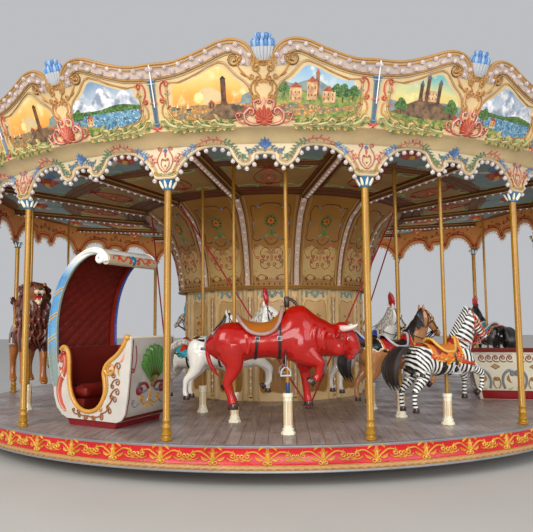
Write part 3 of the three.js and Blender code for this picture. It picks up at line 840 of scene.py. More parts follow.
def make_posts():
    """Fluted posts at the seams and the finials above the middle of each bay."""
    post, x = Form(), board_pitch / 2
    foot, head = 3.22, 3.645
    rows = [[(x + s, y, 0.008 + (0.009 if k % 2 else 0.0)) for k, s in enumerate(np.linspace(-wide, wide, 9))]
            for y, wide in ((foot, 0.022), (head, 0.032))]
    post.grid(np.array(rows), "post_blue")
    for y, wide, name in ((foot - 0.01, 0.036, "coral"), (foot + 0.025, 0.03, "post_blue"), (3.44, 0.034, "coral"),
                          (head, 0.044, "post_blue"), (head - 0.03, 0.038, "sky_blue")):
        post.tube([(x - wide, y, 0.014), (x + wide, y, 0.014)], 0.009, name)
    post.tube([(x, 3.19, 0.004), (x, 3.4, 0.006)], 0.0035, "dark")
    post.tube([(x + 0.008, 3.4, 0.022), (x + 0.008, 3.785, 0.026)], 0.0065, "white")
    for side in (-1, 1):
        petal(post, (x, 3.2), (x + side * 0.05, 3.215), 0.028, "coral", 0.024)
        petal(post, (x, 3.2), (x + side * 0.035, 3.17), 0.024, "pink", 0.024)
    post.ball([x, 3.195, 0.018], [0.018, 0.018, 0.012], "coral")
    piece("board_posts", post.mapped(on_board).around(), angle=40)
    # Finial: a tulip of round ribs, silver below and blue above, with a smaller tier on top
    finial, back = Form(), -0.02
    for tier, (count, foot_reach, reach, foot_y, top_y, size) in enumerate(
            ((16, 0.055, 0.1, 3.765, 3.95, 0.02), (9, 0.05, 0.062, 3.93, 3.998, 0.02))):
        for k in range(count):
            turn = 2 * math.pi * (k + 0.25) / count
            out = np.array([math.cos(turn), 0.0, 0.55 * math.sin(turn)])
            heights = np.linspace(foot_y, top_y, 9)
            reaches = sizes_along(heights, [0, 0.25, 0.6, 0.85, 1],
                                  [foot_reach, reach * 0.82, reach * 0.96, reach, reach * 0.93])
            line = np.array([[0, y, back] + out * r for y, r in zip(heights, reaches)])
            sizes = size * np.array([0.6, 0.85, 0.95, 1.0, 1.0, 1.05, 1.1, 0.95, 0.45])
            split = 0 if tier else 5
            if split:
                finial.tube(line[:split + 1], sizes[:split + 1], "silver", 7)
            finial.tube(line[split:], sizes[split:], ("pale_blue", "steel_blue")[k % 2], 7)
    finial.ball([0, 3.86, back], [0.085, 0.09, 0.045], "silver", 8, 14)
    finial.ball([0, 3.96, back], [0.06, 0.04, 0.035], "steel_blue", 7, 12)
    finial.tube([(-0.06, 3.762, back + 0.03), (0.06, 3.762, back + 0.03)], 0.012, "ochre")
    for side in (-1, 1):
        finial.scroll([(side * 0.03, 3.745), (side * 0.08, 3.742), (side * 0.11, 3.775)], None, (0.022, side), 0.018,
                      "gold", 0.016, 5)
    bay_piece("finials", finial, on_board, share=0.45, angle=60)


def make_valance_art():
    art = Form()
    line = edge_line()
    for gap, width, name in ((0.036, 0.009, "gold"), (0.05, 0.006, "line_red"), (0.062, 0.007, "gold")):
        moved = offset_line(line, gap)
        moved[:, 1] = np.minimum(moved[:, 1], 3.042)
        art.stroke(moved, width, name, 0.007)
    half, seam = Form(), valance_pitch / 2
    for points, first, second, size, width, gap, curled in (
        ([(0.44, 3.072), (0.36, 3.05), (0.3, 2.99), (0.26, 2.92), (0.215, 2.9)], "soft_leaf", "soft_teal", 0.04, 0.009,
         0.036, (0.016, -1)),
        ([(0.06, 3.035), (0.11, 2.985), (0.17, 2.965)], "soft_teal", "soft_blue", 0.038, 0.009, 0.036, (0.018, 1)),
        ([(0.42, 3.072), (0.56, 3.09), (0.73, 3.056)], "soft_coral", "pink", 0.032, 0.01, 0.04, None),
        ([(0.72, 3.06), (0.79, 3.02), (0.85, 2.985)], "soft_blue", "sky_blue", 0.042, 0.01, 0.034, (0.02, -1)),
        ([(0.84, 2.99), (0.91, 2.965), (0.95, 2.905)], "soft_coral", "pink", 0.034, 0.01, 0.04, (0.02, -1)),
    ):
        garland(half, points, first, (first, second), size, width, gap, curled)
    # Lyre above the cap, half of it
    for points, last, width, name in (
        ([(seam - 0.012, 2.79), (seam - 0.07, 2.85), (seam - 0.085, 2.94), (seam - 0.04, 3.03)], (0.024, 1), 0.013,
         "soft_coral"),
        ([(seam - 0.012, 2.82), (seam - 0.045, 2.87), (seam - 0.04, 2.93)], (0.014, -1), 0.009, "soft_coral"),
        ([(seam - 0.05, 2.76), (seam - 0.1, 2.8)], (0.02, 1), 0.012, "gold"),
    ):
        half.scroll(points, None, last, width, name, 0.012, 5)
    half.leaf((seam - 0.03, 2.78), (seam - 0.1, 2.75), 0.026, "green", 0.1)
    half.leaf((seam - 0.1, 2.9), (seam - 0.13, 2.97), 0.026, "pink", 0.1)
    art.join(half.both_sides())
    for y in (2.8, 2.86, 2.92):
        art.join(flower((seam, y), 0.014, "gold", "coral"))
    art.leaf((seam, 2.94), (seam, 3.04), 0.03, "coral", 0)
    art.join(flower((seam, 3.02), 0.022, "blue", "gold"))
    # Blue shell on a stem at the middle of the bay
    for k in range(-2, 3):
        turn = math.radians(90 - 30 * k)
        art.leaf((0, 3.015), towards(0, 3.015, turn, 0.085), 0.05,
                 "soft_blue" if k % 2 else "steel_blue", 0, 0.024)
    art.leaf((0, 3.02), (0, 2.95), 0.034, "soft_blue", 0, 0.02)
    art.ball([0, 3.015, 0.01], [0.02, 0.018, 0.014], "steel_blue")
    bay_piece("valance_ornament", art, lean_band, share=0.37, angle=50)
    bulbs = Form()
    line = offset_line(edge_line(), -0.022)
    lengths = lengths_along(line)
    count = 31
    for k in range(count):
        at = (k + 0.5) * lengths[-1] / count
        x, y = (np.interp(at, lengths, line[:, i]) for i in (0, 1))
        if abs(abs(x) - seam) > 0.075:
            bulbs.ball([x, y, -0.021], 0.026, "bulb", 5, 8)
            bulbs.ball([x, y + 0.012, -0.021], [0.014, 0.02, 0.014], "cream", 3, 6)
    piece("valance_bulbs", bulbs.mapped(on_valance).around(), angle=60)
    inner = Form()
    for gap, width in ((0.085, 0.034), (0.13, 0.012)):
        inner.stroke(offset_line(edge_line(), gap), width, "line_crimson", 0.006)
    for k in range(17):
        t = (k - 8) / 8
        inner.ball([t * 1.0, 3.17 + 0.05 * math.cos(t * 6.3 * 2), 0.002], [0.02, 0.02, 0.006], "crimson", 4, 8)
    for side in (-1, 1):
        inner.scroll([(0, 3.25), (side * 0.05, 3.16), (side * 0.12, 3.12)], None, (0.03, side), 0.018, "crimson", 0.008)
        inner.scroll([(side * 0.3, 3.17), (side * 0.45, 3.13), (side * 0.6, 3.17)], (0.03, side), (0.03, -side),
                     0.016, "crimson", 0.008)
    inner.leaf((0, 3.13), (0, 3.24), 0.05, "gold", 0)
    bay_piece("valance_inside", inner, on_inside, share=0.5, angle=50)


def flower(at, size, petals, heart, count=6):
    made = Form()
    for k in range(count):
        turn = k * 2 * math.pi / count + 0.3
        made.leaf(at, towards(*at, turn, size * 1.25), size * 0.95, petals, 0, size * 0.5, 5)
    return made.ball([at[0], at[1], size * 0.35], [size * 0.35, size * 0.35, size * 0.3], heart, 4, 8)


def lean_band(p):
    """The valance's face up to its top and the cornice's slope above it."""
    radius = np.interp(p[:, 1], [3.046, 3.096, 3.156], [0.0, 0.062, 0.163]) + valance_radius
    turn, out = p[:, 0] / valance_radius, p[:, 2]
    return on_circle(radius + out, turn, deck_top + p[:, 1] - out * 0.3)


def on_inside(p):
    return on_circle(valance_radius - panel_thickness - 0.004 - p[:, 2], p[:, 0] / valance_radius, deck_top + p[:, 1])


# Pictures of the boards: simple landscapes of flat shapes in front of a painted sky

picture_line = smooth([(b * board_pitch, z) for b, z in picture_stations], 6, closed=True)


def picture_land(form, heights, name, lift):
    """A strip of land up to a line of (share, height) points inside the picture's frame."""
    line = picture_line
    low_x, high_x = line[:, 0].min() + 0.004, line[:, 0].max() - 0.004
    low_y, high_y = line[:, 1].min(), line[:, 1].max()
    heights = smooth(heights, 5)
    xs = np.linspace(low_x, high_x, 46)
    turn = int(np.argmin(line[:, 0]))
    ring = np.roll(line, -turn, 0)
    far = int(np.argmax(ring[:, 0]))
    below, above = ring[:far + 1], np.vstack([ring[far:], ring[:1]])[::-1]
    if below[:, 1].mean() > above[:, 1].mean():
        below, above = above, below
    rows = []
    for x in xs:
        share = (x - low_x) / (high_x - low_x)
        floor_y, roof_y = np.interp(x, below[:, 0], below[:, 1]), np.interp(x, above[:, 0], above[:, 1])
        top = low_y + np.interp(share, heights[:, 0], heights[:, 1]) * (high_y - low_y)
        rows.append([(x, floor_y, lift), (x, max(min(top, roof_y - 0.002), floor_y + 0.0005), lift)])
    form.grid(np.array(rows), name)


def picture_spot(u, v):
    low, high = picture_line.min(0), picture_line.max(0)
    return low[0] + u * (high[0] - low[0]), low[1] + v * (high[1] - low[1])


def rectangle(x, y, wide, tall, lift):
    return [(x, y, lift), (x + wide, y, lift), (x + wide, y + tall, lift), (x, y + tall, lift)]


def block(form, u, v, wide, tall, name, lift, roof=None, windows=0):
    x, y = picture_spot(u, v)
    form.face(rectangle(x, y, wide, tall, lift), name)
    if roof:
        peak, name_roof = roof
        over = lift + 0.0005
        form.face([(x - 0.006, y + tall, over), (x + wide + 0.006, y + tall, over),
                   (x + wide / 2, y + tall + peak, over)],
                  name_roof)
    for k in range(windows):
        for j in range(2):
            a, b = x + wide * (k + 0.3) / windows, y + tall * (0.2 + 0.42 * j)
            form.face(rectangle(a, b, 0.008, 0.02, lift + 0.0007), "ink")


def tree(form, u, v, size, name, lift):
    x, y = picture_spot(u, v)
    form.face([(x - 0.004, y, lift), (x + 0.004, y, lift), (x + 0.002, y + size, lift), (x - 0.002, y + size, lift)],
              "ink")
    for dx, dy, r in ((0, 1.0, 0.5), (-0.35, 0.8, 0.36), (0.36, 0.82, 0.36), (0.1, 1.3, 0.3)):
        turns = full_turn(9)
        ring = np.column_stack([x + dx * size + r * size * np.cos(turns),
                                y + dy * size + r * size * np.sin(turns), np.full(9, lift + 0.0006)])
        form.face(ring, name)


def picture(kind):
    form = Form().patch(picture_line, ("sky_sunset", "sky_day", "sky_golden", "sky_cool")[kind], 0.0025)
    if kind == 0:
        x, y = picture_spot(0.62, 0.42)
        turns = full_turn(16)
        ring = np.column_stack([x + 0.05 * np.cos(turns), y + 0.05 * np.sin(turns), np.full(16, 0.0032)])
        form.face(ring, "sun")
        picture_land(form, [(0, 0.5), (0.12, 0.42), (0.2, 0.3), (1, 0.3)], "far_hill", 0.0036)
        picture_land(form, [(0, 0.29), (1, 0.3)], "sea_warm", 0.004)
        picture_land(form, [(0, 0.2), (0.2, 0.28), (0.4, 0.3), (0.5, 0.16), (0.7, 0.04), (1, 0.0)], "rock", 0.0046)
        block(form, 0.3, 0.26, 0.05, 0.24, "tower", 0.0052, (0.03, "ink"))
        block(form, 0.29, 0.24, 0.066, 0.05, "tower_shade", 0.0056)
        block(form, 0.44, 0.22, 0.06, 0.05, "tower_shade", 0.0052, (0.03, "terracotta"), 2)
        for u, v, size in ((0.75, 0.24, 0.06), (0.88, 0.27, 0.04)):
            x, y = picture_spot(u, v)
            form.face([(x - size / 2, y, 0.0052), (x + size / 2, y, 0.0052), (x + size / 3, y - 0.012, 0.0052),
                       (x - size / 3, y - 0.012, 0.0052)], "ink")
            form.face([(x, y + 0.003, 0.0055), (x + size / 2.4, y + 0.006, 0.0055), (x, y + size * 1.4, 0.0055)],
                      "sail")
    elif kind == 1:
        picture_land(form, [(0, 0.75), (0.2, 0.62), (0.45, 0.7), (0.7, 0.52), (1, 0.6)], "far_hill", 0.0034)
        picture_land(form, [(0, 0.45), (0.3, 0.5), (0.6, 0.42), (1, 0.5)], "meadow", 0.0038)
        for u, v, wide, tall in ((0.16, 0.3, 0.12, 0.13), (0.36, 0.34, 0.1, 0.16), (0.54, 0.3, 0.13, 0.1)):
            block(form, u, v, wide, tall, "wall", 0.0046, (0.05, "terracotta"), 3)
        block(form, 0.46, 0.4, 0.035, 0.2, "tower_shade", 0.0042, (0.05, "terracotta"))
        for u, v, size in ((0.78, 0.3, 0.11), (0.9, 0.34, 0.09), (0.1, 0.4, 0.08), (0.7, 0.42, 0.07)):
            tree(form, u, v, size, "foliage", 0.005)
        picture_land(form, [(0, 0.26), (0.3, 0.28), (0.7, 0.22), (1, 0.3)], "sea_warm", 0.0056)
        picture_land(form, [(0, 0.05), (0.4, 0.08), (0.7, 0.14), (1, 0.2)], "meadow", 0.0062)
    elif kind == 2:
        picture_land(form, [(0, 0.4), (0.3, 0.44), (0.6, 0.34), (1, 0.42)], "far_hill", 0.0034)
        picture_land(form, [(0, 0.2), (0.3, 0.42), (0.5, 0.5), (0.7, 0.4), (1, 0.18)], "rock", 0.004)
        block(form, 0.38, 0.44, 0.16, 0.1, "wall", 0.0046, None, 4)
        for u, tall in ((0.34, 0.18), (0.5, 0.22), (0.58, 0.15)):
            block(form, u, 0.42, 0.04, tall, "tower", 0.005, (0.05, "far_roof"), 1)
        picture_land(form, [(0, 0.18), (0.5, 0.12), (1, 0.2)], "meadow", 0.0056)
        tree(form, 0.16, 0.16, 0.12, "foliage", 0.006)
        tree(form, 0.84, 0.16, 0.1, "foliage", 0.006)
    else:
        picture_land(form, [(0, 0.5), (0.15, 0.66), (0.3, 0.5), (0.48, 0.8), (0.64, 0.56), (0.8, 0.7), (1, 0.44)],
                     "snow_peak", 0.0034)
        picture_land(form, [(0, 0.44), (0.4, 0.4), (0.7, 0.46), (1, 0.4)], "foliage", 0.004)
        picture_land(form, [(0, 0.34), (1, 0.33)], "sea_cool", 0.0045)
        picture_land(form, [(0, 0.2), (0.3, 0.12), (0.6, 0.0), (1, 0.0)], "meadow", 0.005)
        block(form, 0.22, 0.14, 0.08, 0.07, "wall", 0.0056, (0.04, "terracotta"), 2)
        tree(form, 0.1, 0.18, 0.1, "foliage", 0.0056)
    return form


def make_pictures():
    kinds = ((0, 1), (2, 3), (1, 0), (3, 2))
    made = Form()
    for bay in range(bay_count):
        left, right = kinds[bay % 4] if bay < 12 else ((1, 2), (0, 3))[bay - 12]
        both = picture(left).mirrored().join(picture(right))
        made.join(both.mapped(on_board).turned(bay * bay_turn))
    piece("board_pictures", made, angle=30)


def make_outer_poles():
    form = Form()
    profile = [(0.055, 0.0), (0.062, 0.008), (0.062, 0.02), (0.046, 0.032), (0.044, 0.05), (0.055, 0.062),
               (0.055, 0.074), (0.043, 0.086), (0.043, 0.12), (0.05, 0.132), (0.05, 0.144), (0.0375, 0.165),
               (0.0375, 0.19), (0.044, 0.2), (0.044, 0.21), (0.0375, 0.22), (0.0375, 2.602), (0.045, 2.61)]
    form.lathe([(r, z + deck_top) for r, z in profile], "pole", 20)
    cap = [(0.045, 2.606), (0.055, 2.612), (0.055, 2.622), (0.046, 2.628), (0.056, 2.645), (0.072, 2.672),
           (0.085, 2.7), (0.088, 2.708), (0.06, 2.7096)]
    form.lathe([(r, z + deck_top) for r, z in cap], "cap_blue", 20)
    for k in range(8):
        turn = k * math.pi / 4
        out = np.array([math.cos(turn), math.sin(turn), 0])
        path = [out * r + [0, 0, deck_top + z] for r, z in ((0.05, 2.63), (0.062, 2.65), (0.08, 2.68), (0.098, 2.7))]
        form.tube(path, [0.011, 0.015, 0.013, 0.006], "cream", 6)
    placed = form.moved(0, -pole_circle, 0).around(start=bay_turn / 2)
    piece("outer_poles", placed, replaces=[f"outer_pole_{k:02d}" for k in range(1, 15)], angle=35)

# Paints with a pattern of their own

def sky_paint(low, middle, high, cloud):
    def make(name):
        n = Nodes(name)
        height = n.make("ShaderNodeSeparateXYZ", {0: n.place}).outputs["Z"]
        wander = n.math("MULTIPLY", n.math("SUBTRACT", n.noise(5.0, 5.0), 0.5), 0.25)
        share = n.ranged(n.math("ADD", height, wander), 3.78, 4.12, 0.0, 1.0)
        colour = n.mix(n.ranged(share, 0.0, 0.5), hue(low), hue(middle))
        colour = n.mix(n.ranged(share, 0.5, 1.0), colour, hue(high))
        puffs = n.cloud(7.0, 6.0, 0.52, 0.66, 0.0, 0.75)
        n.set(Base_Color=n.mix(puffs, colour, hue(cloud)), Roughness=0.45)
        n.bump(n.noise(60.0, 3.0), 0.2, 0.003)
        return n.material
    return make


def dab_paint(light, dark, scale=16.0, third=None):
    def make(name):
        n = Nodes(name)
        colour = n.mix(n.cloud(scale, 6.0, 0.38, 0.62), hue(dark), hue(light))
        if third:
            colour = n.mix(n.cloud(scale * 2.3, 5.0, 0.55, 0.65, 0.0, 0.9), colour, hue(third))
        n.set(Base_Color=colour, Roughness=0.45)
        n.bump(n.noise(60.0, 3.0), 0.25, 0.003)
        return n.material
    return make


def pole_paint(name):
    n = Nodes(name)
    streak = n.make("ShaderNodeMapping", {"Vector": n.place, "Scale": (30.0, 30.0, 1.2)}).outputs[0]
    cloud = n.ranged(n.noise(1.0, 4.0, streak), 0.3, 0.7, 0.0, 1.0)
    n.set(Base_Color=n.mix(cloud, hue("#98660C"), hue("#B68820")), Metallic=0.15, Coat_Weight=0.15)
    n.set(Roughness=n.cloud(22.0, 4.0, 0.3, 0.7, 0.22, 0.4))
    n.bump(n.noise(90.0), 0.08, 0.002)
    return n.material


def plank_paint(light, dark, wide, rough):
    def make(name):
        n = Nodes(name)
        spread = n.make("ShaderNodeSeparateXYZ", {0: n.place})
        across = n.math("DIVIDE", spread.outputs["X"], wide)
        seam = n.math("ABSOLUTE", n.math("SUBTRACT", n.math("FRACT", across), 0.5))
        grain_at = n.make("ShaderNodeMapping", {"Vector": n.place, "Scale": (24.0, 2.0, 24.0)}).outputs[0]
        grain = n.ranged(n.noise(1.0, 6.0, grain_at), 0.3, 0.7, 0.0, 1.0)
        colour = n.mix(grain, hue(dark), hue(light))
        worn = n.cloud(1.6, 6.0, 0.48, 0.7, 0.0, 0.55)
        colour = n.mix(worn, colour, hue("#AC9E9C"))
        gap = n.ranged(seam, 0.47, 0.49)
        n.set(Base_Color=n.mix(gap, colour, hue("#1E1410")))
        n.set(Roughness=n.cloud(3.0, 5.0, 0.35, 0.7, rough - 0.15, rough + 0.15))
        n.bump(n.math("SUBTRACT", grain, gap), 0.3, 0.004)
        return n.material
    return make


SPECIAL = {
    "sky_sunset": sky_paint("#E58B2E", "#F3B45A", "#E9C77E", "#F6DDA4"),
    "sky_day": sky_paint("#E9D9A8", "#A9C3CE", "#7FA9C9", "#F4EBD6"),
    "sky_golden": sky_paint("#E9B85C", "#D9CF86", "#6FB0AE", "#F5E3A6"),
    "sky_cool": sky_paint("#EBD2B4", "#B7C2CC", "#7590AD", "#F2E9DF"),
    "sun": dab_paint("#FBE3A0", "#F6C860"), "sea_warm": dab_paint("#B9803E", "#5E6E62", 22.0, "#E9B768"),
    "sea_cool": dab_paint("#6C9BB4", "#35637E", 22.0, "#B9D3DC"), "rock": dab_paint("#8A6A4A", "#4E3B2E"),
    "far_hill": dab_paint("#8E9A8C", "#6F8088"), "meadow": dab_paint("#8E9A4A", "#4F6B36", 18.0, "#C2A552"),
    "snow_peak": dab_paint("#F1EEF0", "#8796A8", 12.0), "foliage": dab_paint("#4F7A3C", "#25441F", 30.0, "#8CA348"),
    "wall": dab_paint("#E3C08E", "#B98358", 20.0, "#D2957A"), "tower": dab_paint("#7A5236", "#4B3124"),
    "tower_shade": dab_paint("#9A6B48", "#5E4130"), "terracotta": dab_paint("#C6633C", "#8E3E28", 30.0),
    "far_roof": dab_paint("#5F6E86", "#3F4A60"), "ink": dab_paint("#33261F", "#1E1613"),
    "sail": dab_paint("#F6EBD2", "#DDBE92"), "pole": pole_paint,
    "deck_wood": plank_paint("#A6928C", "#7E6A64", 0.145, 0.4),
}
PAINTS.update({
    "cornice": ("#D2B98A", HALF), "crest_shade": ("#BBA391", HALF), "cap_blue": ("#2E6F9C", 0.24),
    "ceiling": ("#704A20", SOFT), "ceiling_line": ("#6A2413", SOFT), "cove": ("#A67430", HALF),
    "cove_light": ("#C6A262", HALF), "drum": ("#DFBC84", HALF),
    "drum_shade": ("#B8925A", HALF), "drum_panel": ("#CDA46A", HALF), "drum_teal": ("#7C9C94", HALF),
    "ink_green": ("#2C4428", 0.5), "sea_sky": ("#7F9A9E", SOFT),
    "rod_red": ("#B3202A", 0.3), "roof": ("#D9D3C2", 0.7), "steel": ("#7D8083", 0.45, 0.7),
    "black_line": ("#1C1613", 0.5), "orange": ("#D97A2A", 0.4), "rim_silver": ("#AEB2B6", 0.36, 0.6),
    "relief_gold": ("#D9A744", 0.3, 0.25), "pinkish": ("#D8BBA0", HALF), "bright_gold": ("#E0B04E", 0.3),
    "ceiling_cream": ("#A8844E", SOFT),
})


# Deck, rim and roof

def make_rim():
    form = Form()
    profile = [(4.80, -0.002), (4.845, -0.001), (4.853, -0.006), (4.853, -0.018), (4.846, -0.022), (4.843, -0.03),
               (4.843, -0.182), (4.848, -0.188), (4.846, -0.192), (4.842, -0.2), (4.842, -0.238), (4.852, -0.246),
               (4.853, -0.262), (4.846, -0.27), (4.815, -0.27), (4.812, -0.05), (4.80, -0.045)]
    names = ["rim_silver"] * 5 + ["rim_red"] * 3 + ["rope"] * 3 + ["rim_silver"] * 6
    sides = 168
    form.lathe([(r, z + deck_top) for r, z in profile + profile[:1]], "rim_red", sides)
    form.paints = [names[min(k // sides, 15)] for k in range(len(form.faces))]
    # Rope moulding of two strands
    steps, corners, rope_radius, rope_depth, thick, strand, twists = 1260, 7, 4.846, 0.219, 0.021, 0.0045, 340
    rings = []
    for turn in np.linspace(0, 2 * math.pi, steps, endpoint=False):
        ring = []
        for side in range(corners):
            angle = side * 2 * math.pi / corners
            size = thick + strand * math.cos(2 * angle - turn * twists)
            radius = rope_radius + size * math.cos(angle)
            ring.append((radius * math.sin(turn), -radius * math.cos(turn),
                         deck_top - rope_depth + 1.1 * size * math.sin(angle)))
        rings.append(ring)
    form.grid(np.array(rings), "rope", loop_rows=True, loop_cols=True)
    piece("rim_band", form, replaces=["deck_rim"], angle=40)
    relief, pitch = Form(), 2 * math.pi * rim_radius / (bay_count * 4)
    wave = [(-0.25 * pitch, -0.15), (-0.14 * pitch, -0.1), (-0.02 * pitch, -0.065), (0.12 * pitch, -0.075)]
    half = Form()
    half.stroke(flourish(wave, (0.026, 1), (0.028, -1), 5), 0.017, "relief_gold", 0.017, 5)
    half.stroke(flourish([(0.0, -0.125), (0.1 * pitch, -0.15), (0.22 * pitch, -0.13)], None, (0.022, 1), 5), 0.014,
                "relief_gold", 0.014, 5)
    for x, y, heading, size in ((-0.1, -0.14, 0.4, 0.09), (-0.05, -0.06, 2.6, 0.08), (0.07, -0.12, -0.5, 0.07),
                                (0.03, -0.1, 1.0, 0.06), (-0.17, -0.08, 1.2, 0.06)):
        half.leaf((x, y), towards(x, y, heading, size), size * 0.36, "relief_gold",
                  0.2, 0.02, 6)
    half = half.moved(0.26 * pitch, 0, 0)
    relief.join(half).join(half.mirrored())
    relief.leaf((0, -0.17), (0, -0.04), 0.05, "relief_gold", 0, 0.022)
    for side in (-1, 1):
        relief.leaf((0, -0.165), (side * 0.05, -0.07), 0.028, "relief_gold", side * -0.25, 0.018)
    relief.ball([0, -0.168, 0.008], [0.018, 0.014, 0.014], "relief_gold", 4, 8)
    on_band = wrapped(rim_radius, lambda up: np.full(len(up), 4.8425))
    whole = thinned(relief.mapped(on_band), share=0.41).around(bay_count * 4)
    piece("rim_relief", whole, angle=50)


def dress_cad():
    """Surfaces of the simple structure that stays as it is."""
    for name, paint_name in (("deck", "deck_wood"), ("roof_cover", "roof"), ("roof_crown", "relief_gold"),
                             ("ceiling", "ceiling"), ("base_beam_long", "steel"), ("base_beam_front", "steel"),
                             ("base_beam_back", "steel"), ("centre_mast", "steel")):
        node = bpy.data.objects[name]
        node.data.materials.clear()
        node.data.materials.append(paint_named(paint_name))


# Ceiling and its sweeps

def ceiling_height(radius):
    return ceiling_inner + (ceiling_outer - ceiling_inner) * np.maximum(radius - ceiling_flat_radius, 0) / (
        ceiling_radius - ceiling_flat_radius)


def on_ceiling(p):
    """Across, distance from the axis and depth below the ceiling."""
    radius = p[:, 1]
    return on_circle(radius, p[:, 0] / np.maximum(radius, 0.1), deck_top + ceiling_height(radius) - p[:, 2])


def wedge(inner, outer, margin, steps=6):
    """Closed outline of a panel between two sweeps, a margin inside them."""
    half = math.tan(bay_turn / 2)
    rows = [(r * half - margin, r) for r in np.linspace(inner, outer, steps)]
    return np.array([(-x, r) for x, r in rows] + [(x, r) for x, r in rows[::-1]])


def make_ceiling_art():
    art = Form()
    for inner, outer, fill in ((3.62, 4.66, "sea_sky"), (2.62, 3.5, "ceiling_cream")):
        outline = wedge(inner, outer, 0.14)
        art.patch(outline, fill, 0.004)
        ring = looped(outline)
        art.stroke(ring, 0.03, "ceiling_line", 0.012)
        middle = outline.mean(0)
        art.stroke(middle + (ring - middle) * 0.93, 0.012, "gold", 0.01)
    for r in (2.34, 2.5):
        half = r * math.tan(bay_turn / 2) - 0.07
        art.stroke([(-half, r), (0, r), (half, r)], 0.04, "ceiling_line", 0.014)
    # Long red cartouche of the inner panel and corner scrolls
    for side in (-1, 1):
        art.scroll([(0, 2.75), (side * 0.16, 2.85), (side * 0.2, 3.05), (side * 0.12, 3.25), (0, 3.38)],
                   (0.04, -side), (0.04, -side), 0.03, "crimson", 0.012)
        art.scroll([(side * 0.05, 2.85), (side * 0.1, 3.05), (side * 0.04, 3.25)], (0.025, side), (0.025, side),
                   0.02, "coral", 0.012)
        for r, heading in ((2.7, 1.0), (3.42, -1.0), (3.7, 1.0), (4.55, -1.0)):
            reach = r * math.tan(bay_turn / 2) - 0.2
            art.scroll([(side * reach, r), (side * (reach - 0.12), r + 0.06 * heading),
                        (side * (reach - 0.26), r + 0.02 * heading)], (0.03, side), (0.03, side), 0.022, "green", 0.012)
        art.leaf((side * 0.1, 4.1), (side * 0.42, 4.2), 0.12, "blue", side * 0.2)
        art.leaf((side * 0.1, 4.0), (side * 0.36, 3.86), 0.1, "pinkish", side * -0.2)
    for y, size in ((3.06, 0.06), (4.05, 0.12)):
        art.join(flower((0, y), size, "coral", "bright_gold", 8))
    bay_piece("ceiling_art", art, on_ceiling, share=0.5, angle=40)
    strip, turn = Form(), bay_turn / 2

    def under_sweep(p):
        radius = p[:, 1]
        height = deck_top + ceiling_height(radius) - sweep_depth - p[:, 2]
        x, y = p[:, 0], -radius
        return np.column_stack([x * math.cos(turn) - y * math.sin(turn), x * math.sin(turn) + y * math.cos(turn),
                                height])

    rows = [[(x, r, h) for x, h in ((-0.05, 0.001), (-0.048, 0.006), (0.048, 0.006), (0.05, 0.001))]
            for r in np.linspace(2.36, 4.72, 6)]
    strip.grid(np.array(rows), "pinkish")
    for x in (-0.046, 0.046):
        strip.tube([(x, 2.36, 0.006), (x, 4.72, 0.006)], 0.006, "ceiling_line")
    for k in range(21):
        strip.ball([0, 2.42 + k * 0.114, 0.012], [0.021, 0.021, 0.018], "bulb", 5, 9)
    side = Form()
    for x in (-0.067, 0.067):
        side.tube([(x, 2.36, -0.04), (x, 4.72, -0.04)], 0.012, "ochre")
    bay_piece("sweep_strips", strip.join(side), under_sweep, share=0.6, angle=50)


# Cove above the machine drum

cove_line = np.array([(1.70, 1.718), (1.68, 1.76), (1.70, 2.0), (1.76, 2.3), (1.87, 2.6), (1.98, 2.8), (2.28, 3.05)])
cove_arc = 1.8
cove_half = bay_turn * cove_arc / 2


def cove_radius(height):
    return np.interp(height, cove_line[1:, 1], cove_line[1:, 0])


on_cove = wrapped(cove_arc, cove_radius)


